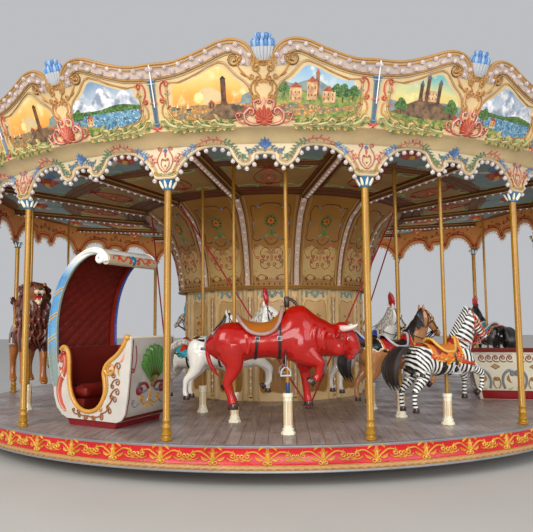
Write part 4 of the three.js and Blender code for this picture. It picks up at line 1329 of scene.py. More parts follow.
def make_cove():
    shell = Form()
    heights = np.concatenate([np.linspace(1.76, 2.98, 15), [3.0499]])
    section = [(1.6, 1.722), (1.70, 1.718), (1.71, 1.735)] + [(float(cove_radius(h)), float(h)) for h in heights]
    section += [(1.62, 3.0499)]
    shell.lathe([(r, z + deck_top) for r, z in section + section[:1]], "cove", 84)
    art = Form()
    # Rib with its strip of bulbs, half at each seam, moved to one seam
    rib = Form()
    for x in (-0.085, 0.085):
        rib.tube([(x, y, 0.008) for y in np.linspace(1.78, 3.04, 12)], 0.016, "ochre")
    for x in (-0.045, 0.045):
        rib.tube([(x, y, 0.006) for y in np.linspace(1.78, 3.04, 12)], 0.006, "ceiling_line")
    rows = [[(x, y, 0.004) for x in (-0.045, 0.045)] for y in np.linspace(1.77, 3.045, 12)]
    rib.grid(np.array(rows), "pinkish")
    for k in range(12):
        rib.ball([0, 1.83 + k * 0.105, 0.014], [0.021, 0.021, 0.018], "bulb", 5, 9)
    art.join(rib.moved(cove_half, 0, 0))
    side = Form()
    frame_half = [(0, 2.95), (0.1, 2.94), (0.16, 2.9), (0.24, 2.92), (0.265, 2.84), (0.25, 2.74), (0.27, 2.66),
                  (0.265, 2.56), (0.28, 2.47), (0.2, 2.44), (0.12, 2.47), (0.06, 2.4), (0, 2.38)]
    side.stroke(smooth(frame_half, 4), 0.012, "ceiling_line", 0.008)
    side.stroke(smooth([(x * 0.86, 2.67 + (y - 2.67) * 0.92) for x, y in frame_half], 3), 0.005, "gold", 0.006)
    for points, radius, hand, name in (
        ([(0.02, 2.3), (0.1, 2.34), (0.17, 2.28), (0.16, 2.2)], 0.03, -1, "crimson"),
        ([(0.03, 2.06), (0.1, 2.02), (0.17, 2.06), (0.18, 2.14)], 0.03, 1, "crimson"),
        ([(0.24, 2.38), (0.28, 2.28), (0.24, 2.18)], 0.025, -1, "coral"),
        ([(0.05, 2.18), (0.1, 2.14), (0.14, 2.18)], 0.02, 1, "coral"),
        ([(0.08, 1.9), (0.18, 1.93), (0.25, 1.88)], 0.025, -1, "line_red"),
    ):
        side.scroll(points, (radius, -hand), (radius, hand), 0.017, name, 0.011)
    for x, y, heading, size, name in (
        (0.02, 2.62, -1.2, 0.12, "leaf"), (0.03, 2.55, -0.5, 0.09, "green"), (0.24, 2.66, 1.5, 0.06, "sky_blue"),
        (0.13, 2.9, 0.3, 0.06, "sky_blue"), (0.1, 2.46, 0.4, 0.06, "sky_blue"), (0.2, 2.3, 0.8, 0.08, "green"),
        (0.12, 2.1, 0.6, 0.07, "leaf"), (0.06, 2.24, 0.9, 0.07, "gold"), (0.22, 1.98, 0.4, 0.07, "green"),
    ):
        side.leaf((x, y), towards(x, y, heading, size), size * 0.4, name, 0.15)
    for k in range(4):
        side.stroke([(0.045 + k * 0.09, 1.8), (0.0 + k * 0.09 + 0.01, 1.775)], 0.008, "black_line", 0.006)
        side.ball([0.045 + k * 0.085, 1.79, 0.004], [0.012, 0.016, 0.008], "black_line", 4, 6)
    side.stroke([(0, 1.82), (0.31, 1.82)], 0.012, "ochre", 0.01)
    art.join(side.both_sides())
    patch = Form().patch(smooth([(-0.29, 2.36), (0, 2.34), (0.29, 2.36), (0.3, 1.9), (0, 1.86), (-0.3, 1.9)], 4, True),
                         "cove_light", 0.003)
    art.join(patch)
    for k in range(16):
        turn = k * math.pi / 8
        size = 0.115 if k % 2 else 0.085
        art.leaf((0, 2.72), towards(0, 2.72, turn, size), 0.035, "leaf" if k % 2 else "ink_green",
                 0.0, 0.016, 5)
    art.join(flower((0, 2.72), 0.045, "orange", "crimson", 9).moved(0, 0, 0.008))
    art.stroke([(0, 2.62), (0.01, 2.54), (-0.005, 2.47)], 0.008, "ink_green", 0.008)
    for x, y in ((-0.05, 2.52), (0.055, 2.54), (0.0, 2.46)):
        art.join(flower((x, y), 0.016, "coral", "bright_gold", 5))
    art.leaf((0, 2.1), (0, 2.3), 0.05, "gold", 0.0, 0.016)
    shell.join(thinned(art.mapped(on_cove), share=0.42).around())
    piece("cove_panels", shell, replaces=["cove"], angle=40)


def make_drum():
    shell = Form()
    wall = [(1.5, 0.002), (1.545, 0.002), (1.545, 1.748), (1.5, 1.748)]
    shell.lathe([(r, z + deck_top) for r, z in wall + wall[:1]], "drum", 84)
    on_drum = wrapped(drum_radius, lambda up: np.full(len(up), 1.5455))
    art, half = Form(), bay_turn * drum_radius / 2
    for x in (-0.085, 0.085):
        turns = np.linspace(0, math.pi, 9)
        rows = [[(half + x + r * math.cos(t), y, r * math.sin(t)) for t in turns]
                for r, y in ((0.052, 0.02), (0.052, 0.1), (0.04, 0.12), (0.038, 0.6), (0.038, 1.5), (0.045, 1.52),
                             (0.05, 1.56), (0.038, 1.58), (0.038, 1.72))]
        art.grid(np.array(rows), "drum")
        for k in range(5):
            art.ball([half + x, 0.66 + k * 0.19, 0.036], [0.012, 0.07, 0.008], "drum_shade", 5, 6)
    for k in range(14):
        art.ball([half, 0.2 + k * 0.1, 0.008], [0.018, 0.018, 0.014], "bulb", 5, 8)
    for x in (-0.025, 0.025):
        art.tube([(half + x, 0.1, 0.004), (half + x, 1.6, 0.004)], 0.004, "ceiling_line")
    panel = Form()
    wide = half - 0.16
    for low, high, fill in ((0.68, 1.48, "drum_panel"), (0.16, 0.6, "cove")):
        outline = smooth([(-wide, low), (0, low - 0.01), (wide, low), (wide, high), (0, high + 0.03), (-wide, high)], 4,
                         True)
        panel.patch(outline, fill, 0.004)
        panel.stroke(looped(outline), 0.014, "gold", 0.01)
    for k in range(5):
        x = (k - 2) * wide * 0.38
        panel.leaf((x, 0.52), (x, 0.24 - 0.03 * (k % 2)), 0.03, "black_line", 0, 0.006)
    panel.stroke([(-half, 0.06), (half, 0.06)], 0.035, "crimson", 0.006)
    panel.stroke([(-half, 0.115), (half, 0.115)], 0.012, "gold", 0.01)
    for side in (-1, 1):
        panel.scroll([(0, 1.62), (side * 0.08, 1.66), (side * 0.16, 1.62)], (0.02, side), (0.02, -side), 0.018,
                     "drum_teal", 0.01)
        panel.scroll([(side * 0.02, 0.74), (side * 0.1, 0.78), (side * 0.14, 0.86)], None, (0.024, side), 0.014,
                     "crimson", 0.009)
        for y, heading in ((1.0, 0.7), (1.15, 1.0), (0.92, -0.4), (1.28, 0.5)):
            panel.leaf((side * 0.02, y), (side * (0.02 + 0.1 * math.cos(heading)), y + 0.1 * math.sin(heading)), 0.035,
                       "leaf", side * 0.15)
    for x, y, size in ((0, 1.2, 0.04), (-0.06, 1.08, 0.032), (0.065, 1.1, 0.034), (0.0, 0.98, 0.03),
                       (0.04, 1.32, 0.026)):
        panel.join(flower((x, y), size, "orange", "crimson", 7))
    panel.stroke([(0, 0.95), (0.01, 0.86), (0, 0.8)], 0.01, "ink_green", 0.006)
    panel.stroke([(-half, 1.7), (half, 1.7)], 0.03, "drum_teal", 0.012)
    for k in range(6):
        panel.leaf(((k - 2.5) * 0.095, 1.69), ((k - 2.5) * 0.095, 1.6), 0.06, "drum_teal", 0, 0.012)
    art.join(panel)
    shell.join(thinned(art.mapped(on_drum), share=0.45).around())
    piece("drum_panels", shell, replaces=["drum"], angle=40)


def make_rods():
    form = Form()
    for foot in (12.857, 141.43, -115.71):
        for turn in (-51.43, 51.43):
            start, end = math.radians(foot), math.radians(foot + turn)
            low, high = np.array(on_ring(2.3, start, 0.0)), np.array(on_ring(2.235, end, 3.0))
            form.tube([low + (high - low) * s for s in (0.0, 0.02, 0.98, 1.0)], [0.02, 0.0125, 0.0125, 0.02],
                      "rod_red", 8)
        form.ball(on_ring(2.3, start, 0.006), [0.08, 0.08, 0.008], "steel", 4, 12)
    piece("tie_rods", form, angle=40)


def make_roof():
    """Ribs between the roof's segments."""
    form = Form()
    for k in range(bay_count):
        turn = (k + 0.5) * bay_turn
        path = [(r * math.sin(turn), -r * math.cos(turn), z + 0.012) for r, z in
                ((5.1, 4.137), (3.6, 4.52), (2.0, 4.93), (0.5, 5.31))]
        form.tube(path, 0.014, "roof", 6)
    piece("roof_ribs", form, angle=40)


# Figures: bodies fused from limbs, then saddles, straps, hair and poles
# Local axes of a figure: x forwards, y towards the centre, z above the deck

def limb(form, stations, name="coat", sides=14, per=3):
    line = smooth(stations, per)
    path, wide, tall = line[:, :3], line[:, 3], line[:, 4]
    along = np.gradient(path, axis=0)
    along /= np.linalg.norm(along, axis=1)[:, None]
    turns = full_turn(sides)
    rings = []
    for k, at in enumerate(path):
        guide = np.array([0.0, 0, 1] if abs(along[k][1]) > 0.9 else [0.0, 1, 0])
        across = guide - along[k] * (guide @ along[k])
        across /= np.linalg.norm(across)
        up = np.cross(across, along[k])
        rings.append(at + np.outer(np.cos(turns) * wide[k], across) + np.outer(np.sin(turns) * tall[k], up))
    start, last = form.count, (len(path) - 1) * sides
    form.grid(np.array(rings), name, loop_cols=True)
    form.faces += [tuple(start + j for j in range(sides)), tuple(start + last + j for j in range(sides))[::-1]]
    form.paints += [name, name]
    return form


def other_side(stations):
    return [(x, -y, z, a, b) for x, y, z, a, b in stations]


def fused(form, voxel=0.012, rounds=5):
    """One skin round limbs that run into each other, softened and thinned."""
    raw, _ = object_of("raw", form)
    voxels(raw, voxel)
    soft = raw.modifiers.new("soft", "SMOOTH")
    soft.factor, soft.iterations = 0.5, rounds
    made = changed(raw)
    body = Form().add(corners_of(made), faces_of(made), "coat")
    remove(raw)
    return thinned(body, share=0.33)


def recolour(form, rules):
    """Gives faces another paint where a rule on their middle holds."""
    corners = form.corners()
    middles = np.array([corners[list(face)].mean(0) for face in form.faces])
    for test, name in rules:
        for k in np.nonzero(test(middles[:, 0], middles[:, 1], middles[:, 2]))[0]:
            form.paints[k] = name
    return form


spine_height = 0.98


class Skin:
    """The surface of a body, to lay straps, cloths and saddles on."""

    def __init__(self, form):
        self.tree = BVHTree.FromPolygons(form.corners().tolist(), form.faces)

    def ring(self, centre, first, second, angles, lift, reach=0.7):
        centre, points, deep = Vector(centre), [], 0.1
        for angle, rise in zip(angles, np.broadcast_to(lift, len(angles))):
            out = Vector(first) * math.cos(angle) + Vector(second) * math.sin(angle)
            hit = self.tree.ray_cast(centre + out * reach, -out, reach)[0]
            if hit is not None:
                deep = (hit - centre).length
            points.append(centre + out * (deep + float(rise)))
        return np.array([p[:] for p in points])

    def strap(self, form, centre, along, wide, name, low=0.0, high=360.0, lift=0.007, steps=40, studs=None):
        along = Vector(along).normalized()
        side = along.cross(Vector((0, 0, 1)))
        if side.length < 0.3:
            side = along.cross(Vector((1, 0, 0)))
        side.normalize()
        over = side.cross(along)
        closed = high - low >= 359
        angles = np.radians(np.linspace(low, high, steps, endpoint=not closed))
        rows = []
        for s, h in ((-0.5, -0.003), (-0.44, lift), (0, lift * 1.25), (0.44, lift), (0.5, -0.003)):
            rows.append(self.ring(Vector(centre) + along * wide * s, side, over, angles, h))
        grid = np.stack(rows, 0)
        form.grid(grid, name, loop_cols=closed)
        if studs:
            count, size, stud_name = studs
            for k in range(count):
                at = grid[2][int(k * (steps - 1) / count)]
                form.ball(at, size, stud_name, 4, 6)
        return grid[2]

    def cloth(self, form, xs, low_of, high_of, lift, name, edge, steps):
        """A cloth over the back from low_of(x) to high_of(x) degrees from the top, one side after the other."""
        rows = []
        for k, x in enumerate(xs):
            angles = np.radians(np.linspace(low_of(x), high_of(x), steps))
            fade = np.minimum(np.arange(steps), np.arange(steps)[::-1])
            rise = np.where(fade == 0, -0.002, lift)
            if k in (0, len(xs) - 1):
                rise = np.full(steps, -0.002)
            rows.append(self.ring((x, 0, spine_height), (0, 0, 1), (0, 1, 0), angles, rise))
        grid = np.array(rows)
        form.grid(grid, name)
        form.tube(border(grid), *edge, 6, closed=True)


def seat_form(form, stations, name, rim, thick=0.02):
    """A saddle's seat: rows of [x, height, half width, droop]."""
    line = smooth(stations, 4)
    across = np.linspace(-1, 1, 15)
    top = np.array([[(x, s * wide, z - droop * abs(s) ** 2.2) for s in across] for x, z, wide, droop in line])
    low = top - [0, 0, thick]
    form.grid(top, name).grid(low, name)
    edge = border(top) - [0, 0, thick / 2]
    form.tube(edge, thick * rim[0], rim[1], 8, closed=True)
    return edge


def stirrup(form, side, x, top, foot):
    y = side * 0.2
    form.tube([(x, y * 0.98, top), (x, y * 1.12, (top + foot) / 2 + 0.05), (x, y * 1.12, foot + 0.09)], 0.011,
              "strap", 6)
    hoop = [(x - 0.05, y * 1.12, foot), (x - 0.045, y * 1.12, foot + 0.05), (x, y * 1.12, foot + 0.09),
            (x + 0.045, y * 1.12, foot + 0.05), (x + 0.05, y * 1.12, foot)]
    form.tube(smooth(hoop, 4), 0.008, "silver", 8)
    for dy in (-0.022, 0.022):
        form.tube([(x - 0.056, y * 1.12 + dy, foot), (x + 0.056, y * 1.12 + dy, foot)], 0.009, "silver", 8)


def locks(form, roots, falls, radius, name, rng):
    """Tapered locks of hair from each root along its fall."""
    for root, fall in zip(np.asarray(roots, float), np.asarray(falls, float)):
        t = np.linspace(0, 1, 7)[:, None]
        wave = np.sin(t * 5.0 + rng.uniform(0, 6)) * 0.02 * t
        sag = np.array([0, 0, -0.03]) * t * t
        path = root + fall * t + wave * rng.normal(0, 1, 3) * [1, 0.6, 0.3] + sag
        size = radius * rng.uniform(0.8, 1.2)
        form.tube(path, size * np.array([0.9, 1.0, 1.0, 0.85, 0.65, 0.42, 0.14]), name, 6, 0.7)


def carved_locks(form, roots, falls, radius, name, rng):
    """Thick carved locks: each swells, bends and ends in a point."""
    for root, fall in zip(np.asarray(roots, float), np.asarray(falls, float)):
        t = np.linspace(0, 1, 8)[:, None]
        side = np.cross(fall, [1.0, 0.0, 0.2])
        side = side / max(np.linalg.norm(side), 1e-6)
        path = root + fall * t + side * np.sin(t * math.pi * 1.6) * 0.022 * rng.choice((-1, 1))
        size = radius * rng.uniform(0.85, 1.2)
        form.tube(path, size * np.array([0.6, 0.95, 1.1, 1.1, 0.95, 0.75, 0.45, 0.1]), name, 7, 0.75)


def eye(form, at, size=0.02):
    for side in (-1, 1):
        x, y, z = at
        form.ball([x, side * y, z], size, "white", 7, 10)
        form.ball([x + size * 0.25, side * (y + size * 0.42), z], size * 0.72, "dark", 7, 10)
        # A small white dot on each pupil: a painted glint
        form.ball([x + size * 0.45, side * (y + size * 1.0), z + size * 0.25], size * 0.16, "white", 4, 6)


def hoof(form, at, wide, tall, pitch=0.0):
    x, y, z = at
    profile = [(wide * 0.8, 0.0), (wide * 0.86, -tall * 0.2), (wide, -tall * 0.9), (wide * 0.96, -tall), (0.0, -tall)]
    made = Form().lathe(profile, "hoof", 14)
    c, s = math.cos(pitch), math.sin(pitch)
    turn = np.array([[c, 0, -s], [0, 1, 0], [s, 0, c]])
    form.join(made.mapped(lambda p: (p * [1.15, 1.0, 1.0]) @ turn + [x, y, z]))


def bull():
    raw = Form()
    limb(raw, [
        (-0.865, 0, 1.03, 0.03, 0.04), (-0.82, 0, 1.0, 0.12, 0.13), (-0.72, 0, 0.985, 0.185, 0.2),
        (-0.56, 0, 0.985, 0.22, 0.225), (-0.4, 0, 0.99, 0.215, 0.19), (-0.2, 0, 0.995, 0.228, 0.185),
        (0, 0, 1.03, 0.24, 0.265), (0.08, 0, 1.045, 0.24, 0.33), (0.15, 0, 1.04, 0.232, 0.342),
        (0.25, 0, 1.03, 0.21, 0.28), (0.36, 0, 1.02, 0.175, 0.215), (0.46, 0, 1.0, 0.148, 0.18),
        (0.56, 0, 0.995, 0.132, 0.178), (0.65, 0, 0.965, 0.112, 0.16), (0.71, 0, 0.905, 0.086, 0.108),
        (0.745, 0, 0.86, 0.074, 0.074), (0.757, 0, 0.845, 0.05, 0.05),
    ], sides=20)
    hind = [(-0.6, 0.12, 0.98, 0.12, 0.17), (-0.6, 0.125, 0.86, 0.105, 0.145), (-0.58, 0.125, 0.75, 0.08, 0.105),
            (-0.6, 0.128, 0.66, 0.056, 0.072), (-0.648, 0.13, 0.57, 0.046, 0.054), (-0.637, 0.13, 0.49, 0.036, 0.042),
            (-0.61, 0.13, 0.4, 0.036, 0.041), (-0.6, 0.13, 0.36, 0.044, 0.048), (-0.592, 0.13, 0.335, 0.044, 0.048)]
    bent = [(0.12, -0.13, 0.93, 0.1, 0.15), (0.22, -0.145, 0.84, 0.085, 0.115), (0.325, -0.15, 0.77, 0.06, 0.07),
            (0.338, -0.15, 0.73, 0.05, 0.052), (0.325, -0.15, 0.66, 0.04, 0.043), (0.305, -0.15, 0.61, 0.04, 0.043),
            (0.28, -0.15, 0.585, 0.045, 0.046)]
    long_leg = [(0.12, 0.13, 0.93, 0.1, 0.15), (0.17, 0.14, 0.79, 0.08, 0.1), (0.205, 0.15, 0.65, 0.058, 0.066),
                (0.213, 0.15, 0.52, 0.044, 0.048), (0.225, 0.15, 0.39, 0.038, 0.042), (0.23, 0.15, 0.35, 0.045, 0.05),
                (0.233, 0.15, 0.325, 0.045, 0.05)]
    for leg in (hind, other_side(hind), bent, long_leg):
        limb(raw, leg)
    for side in (-1, 1):
        raw.ball([-0.64, side * 0.13, 0.98], [0.16, 0.1, 0.19], "coat", 9, 14)
        raw.ball([0.13, side * 0.15, 0.98], [0.15, 0.1, 0.22], "coat", 9, 14)
        raw.ball([0.55, side * 0.085, 0.93], [0.09, 0.05, 0.1], "coat", 8, 12)
        raw.ball([0.635, side * 0.075, 1.06], [0.05, 0.04, 0.035], "coat", 8, 12)
        limb(raw, [(0.555, side * 0.1, 1.085, 0.03, 0.02), (0.53, side * 0.165, 1.075, 0.05, 0.028),
                   (0.515, side * 0.225, 1.05, 0.045, 0.02), (0.505, side * 0.265, 1.03, 0.01, 0.008)])
        raw.ball([0.742, side * 0.045, 0.88], [0.035, 0.036, 0.032], "coat", 8, 10)
        # Carved folds at the flank, the shoulder and the throat
        for fold in ([(-0.44, 0.19, 1.08), (-0.41, 0.21, 0.98), (-0.44, 0.2, 0.86)],
                     [(0.3, 0.19, 1.16), (0.27, 0.215, 1.04), (0.3, 0.185, 0.9)],
                     [(0.4, 0.155, 1.12), (0.37, 0.17, 1.02), (0.39, 0.15, 0.9)],
                     [(-0.78, 0.14, 1.04), (-0.76, 0.17, 0.96), (-0.72, 0.19, 0.88)]):
            raw.tube(smooth([(x, side * y, z) for x, y, z in fold], 4), 0.022, "coat", 8)
    raw.ball([0.6, 0, 1.155], [0.08, 0.09, 0.045], "coat", 8, 12)
    limb(raw, [(0.3, 0, 0.82, 0.03, 0.06), (0.2, 0, 0.74, 0.035, 0.08), (0.12, 0, 0.72, 0.06, 0.06)])
    raw.ball([0.69, 0, 0.815], [0.06, 0.058, 0.03], "coat", 8, 12)
    body = fused(raw)
    skin = Skin(body)
    recolour(body, [(lambda x, y, z: (x > 0.7) & (z < 0.9), "muzzle"),
                    (lambda x, y, z: (x > 0.655) & (z < 0.805), "muzzle")])
    extras = Form()
    for side in (-1, 1):
        horn = smooth([(0.6, side * 0.07, 1.125), (0.632, side * 0.13, 1.128), (0.682, side * 0.172, 1.138),
                       (0.722, side * 0.185, 1.156), (0.748, side * 0.18, 1.174)], 4)
        extras.tube(horn, np.linspace(1, 0, len(horn)) ** 0.8 * 0.034 + 0.005, "horn", 14)
        extras.ball([0.612, side * 0.088, 1.124], [0.04, 0.026, 0.043], "coat", 7, 12)
        extras.ball([0.772, side * 0.036, 0.872], [0.014, 0.014, 0.012], "dark", 6, 8)
        hoof(extras, (-0.59, side * 0.13, 0.345), 0.052, 0.06)
    hoof(extras, (0.235, 0.15, 0.335), 0.052, 0.055)
    hoof(extras, (0.265, -0.15, 0.59), 0.05, 0.055, pitch=0.9)
    eye(extras, (0.652, 0.098, 1.015), 0.02)
    tail = smooth([(-0.8, 0, 1.06), (-0.852, 0, 0.98), (-0.868, 0, 0.87), (-0.84, 0, 0.76), (-0.79, 0, 0.68),
                   (-0.745, 0, 0.62)], 4)
    extras.tube(tail, sizes_along(tail, [0, 0.3, 0.8, 1], [0.034, 0.026, 0.02, 0.004]), "coat", 10)
    seat_form(extras, [
        (-0.535, 1.3, 0.1, 0.03), (-0.48, 1.25, 0.17, 0.06), (-0.4, 1.215, 0.215, 0.1), (-0.28, 1.2, 0.225, 0.115),
        (-0.17, 1.225, 0.21, 0.11), (-0.1, 1.29, 0.17, 0.09), (-0.055, 1.375, 0.1, 0.04)], "saddle_tan",
        (0.95, "pink_silver"), 0.022)
    # Two girths with buckles, stirrups under the belly and the strap handle at the pole
    for x, lean in ((-0.33, -0.1), (-0.09, 0.0)):
        band = skin.strap(extras, (x, 0, 0.99), (1, 0, lean), 0.034, "strap", lift=0.009)
        for side in (-1, 1):
            at = band[np.argmin(np.abs(band[:, 2] - 1.04) + 10 * (band[:, 1] * side < 0))] + [0, side * 0.008, 0]
            buckle = [at + [dx, 0, dz] for dx, dz in ((-0.022, -0.02), (0.022, -0.02), (0.022, 0.02), (-0.022, 0.02))]
            extras.tube(buckle, 0.0045, "silver", 6, closed=True)
    for side in (-1, 1):
        stirrup(extras, side, -0.03, 0.92, 0.64)
    extras.tube([(0, 0, 1.36), (0, 0, 1.375), (0, 0, 1.465), (0, 0, 1.48)], [0.024, 0.031, 0.031, 0.024], "strap", 14)
    extras.tube(smooth([(0.02, 0, 1.455), (0.07, 0, 1.435), (0.12, 0, 1.375)], 4), 0.017, "strap", 10)
    return body, extras, {"coat": "bull_red"}


def horse_body():
    raw = Form()
    limb(raw, [
        (-0.575, 0, 1.03, 0.05, 0.07), (-0.53, 0, 1.015, 0.125, 0.15), (-0.43, 0, 1.0, 0.165, 0.185),
        (-0.3, 0, 0.985, 0.168, 0.178), (-0.12, 0, 0.96, 0.165, 0.16), (0.06, 0, 0.965, 0.165, 0.17),
        (0.2, 0, 0.985, 0.155, 0.188), (0.3, 0, 1.0, 0.12, 0.16), (0.35, 0, 1.02, 0.07, 0.1),
    ], sides=18)
    limb(raw, [
        (0.12, 0, 1.03, 0.115, 0.18), (0.24, 0, 1.13, 0.09, 0.162), (0.33, 0, 1.26, 0.068, 0.13),
        (0.385, 0, 1.37, 0.054, 0.102), (0.41, 0, 1.455, 0.047, 0.078), (0.42, 0, 1.51, 0.035, 0.05),
    ], sides=16)
    limb(raw, [
        (0.37, 0, 1.515, 0.034, 0.04), (0.42, 0, 1.482, 0.055, 0.07), (0.48, 0, 1.425, 0.055, 0.083),
        (0.54, 0, 1.355, 0.044, 0.065), (0.595, 0, 1.29, 0.034, 0.048), (0.64, 0, 1.235, 0.038, 0.045),
        (0.662, 0, 1.208, 0.028, 0.032),
    ], sides=14)
    hind = [(-0.42, 0.09, 0.98, 0.09, 0.14), (-0.44, 0.1, 0.87, 0.08, 0.115), (-0.47, 0.105, 0.77, 0.058, 0.075),
            (-0.53, 0.108, 0.7, 0.04, 0.05), (-0.578, 0.11, 0.645, 0.033, 0.04), (-0.59, 0.11, 0.57, 0.024, 0.028),
            (-0.592, 0.11, 0.5, 0.027, 0.031), (-0.58, 0.11, 0.47, 0.026, 0.029), (-0.575, 0.11, 0.455, 0.03, 0.033)]
    bent = [(0.24, -0.09, 0.95, 0.065, 0.11), (0.33, -0.1, 0.885, 0.054, 0.072), (0.42, -0.108, 0.83, 0.042, 0.048),
            (0.457, -0.11, 0.795, 0.038, 0.04), (0.458, -0.11, 0.73, 0.025, 0.028), (0.452, -0.11, 0.655, 0.028, 0.031),
            (0.425, -0.11, 0.618, 0.026, 0.028), (0.405, -0.11, 0.6, 0.03, 0.032)]
    reach = [(0.24, 0.09, 0.95, 0.065, 0.11), (0.32, 0.1, 0.86, 0.054, 0.072), (0.388, 0.108, 0.775, 0.04, 0.044),
             (0.4, 0.11, 0.735, 0.036, 0.038), (0.396, 0.11, 0.66, 0.025, 0.028), (0.394, 0.11, 0.585, 0.028, 0.031),
             (0.394, 0.11, 0.55, 0.026, 0.029), (0.395, 0.11, 0.53, 0.03, 0.033)]
    for leg in (hind, other_side(hind), bent, reach):
        limb(raw, leg, sides=12)
    for side in (-1, 1):
        raw.ball([-0.45, side * 0.095, 1.0], [0.12, 0.075, 0.15], "coat", 9, 14)
        raw.ball([0.22, side * 0.09, 0.97], [0.11, 0.07, 0.15], "coat", 9, 14)
        raw.ball([0.435, side * 0.034, 1.425], [0.055, 0.03, 0.06], "coat", 8, 12)
        raw.ball([0.645, side * 0.024, 1.238], [0.026, 0.02, 0.022], "coat", 8, 10)
        limb(raw, [(0.385, side * 0.035, 1.53, 0.026, 0.018), (0.378, side * 0.042, 1.57, 0.026, 0.016),
                   (0.38, side * 0.042, 1.61, 0.007, 0.006)], sides=10)
        raw.ball([0.475, side * 0.046, 1.455], [0.03, 0.018, 0.02], "coat", 8, 10)
    return fused(raw, 0.011, 4)


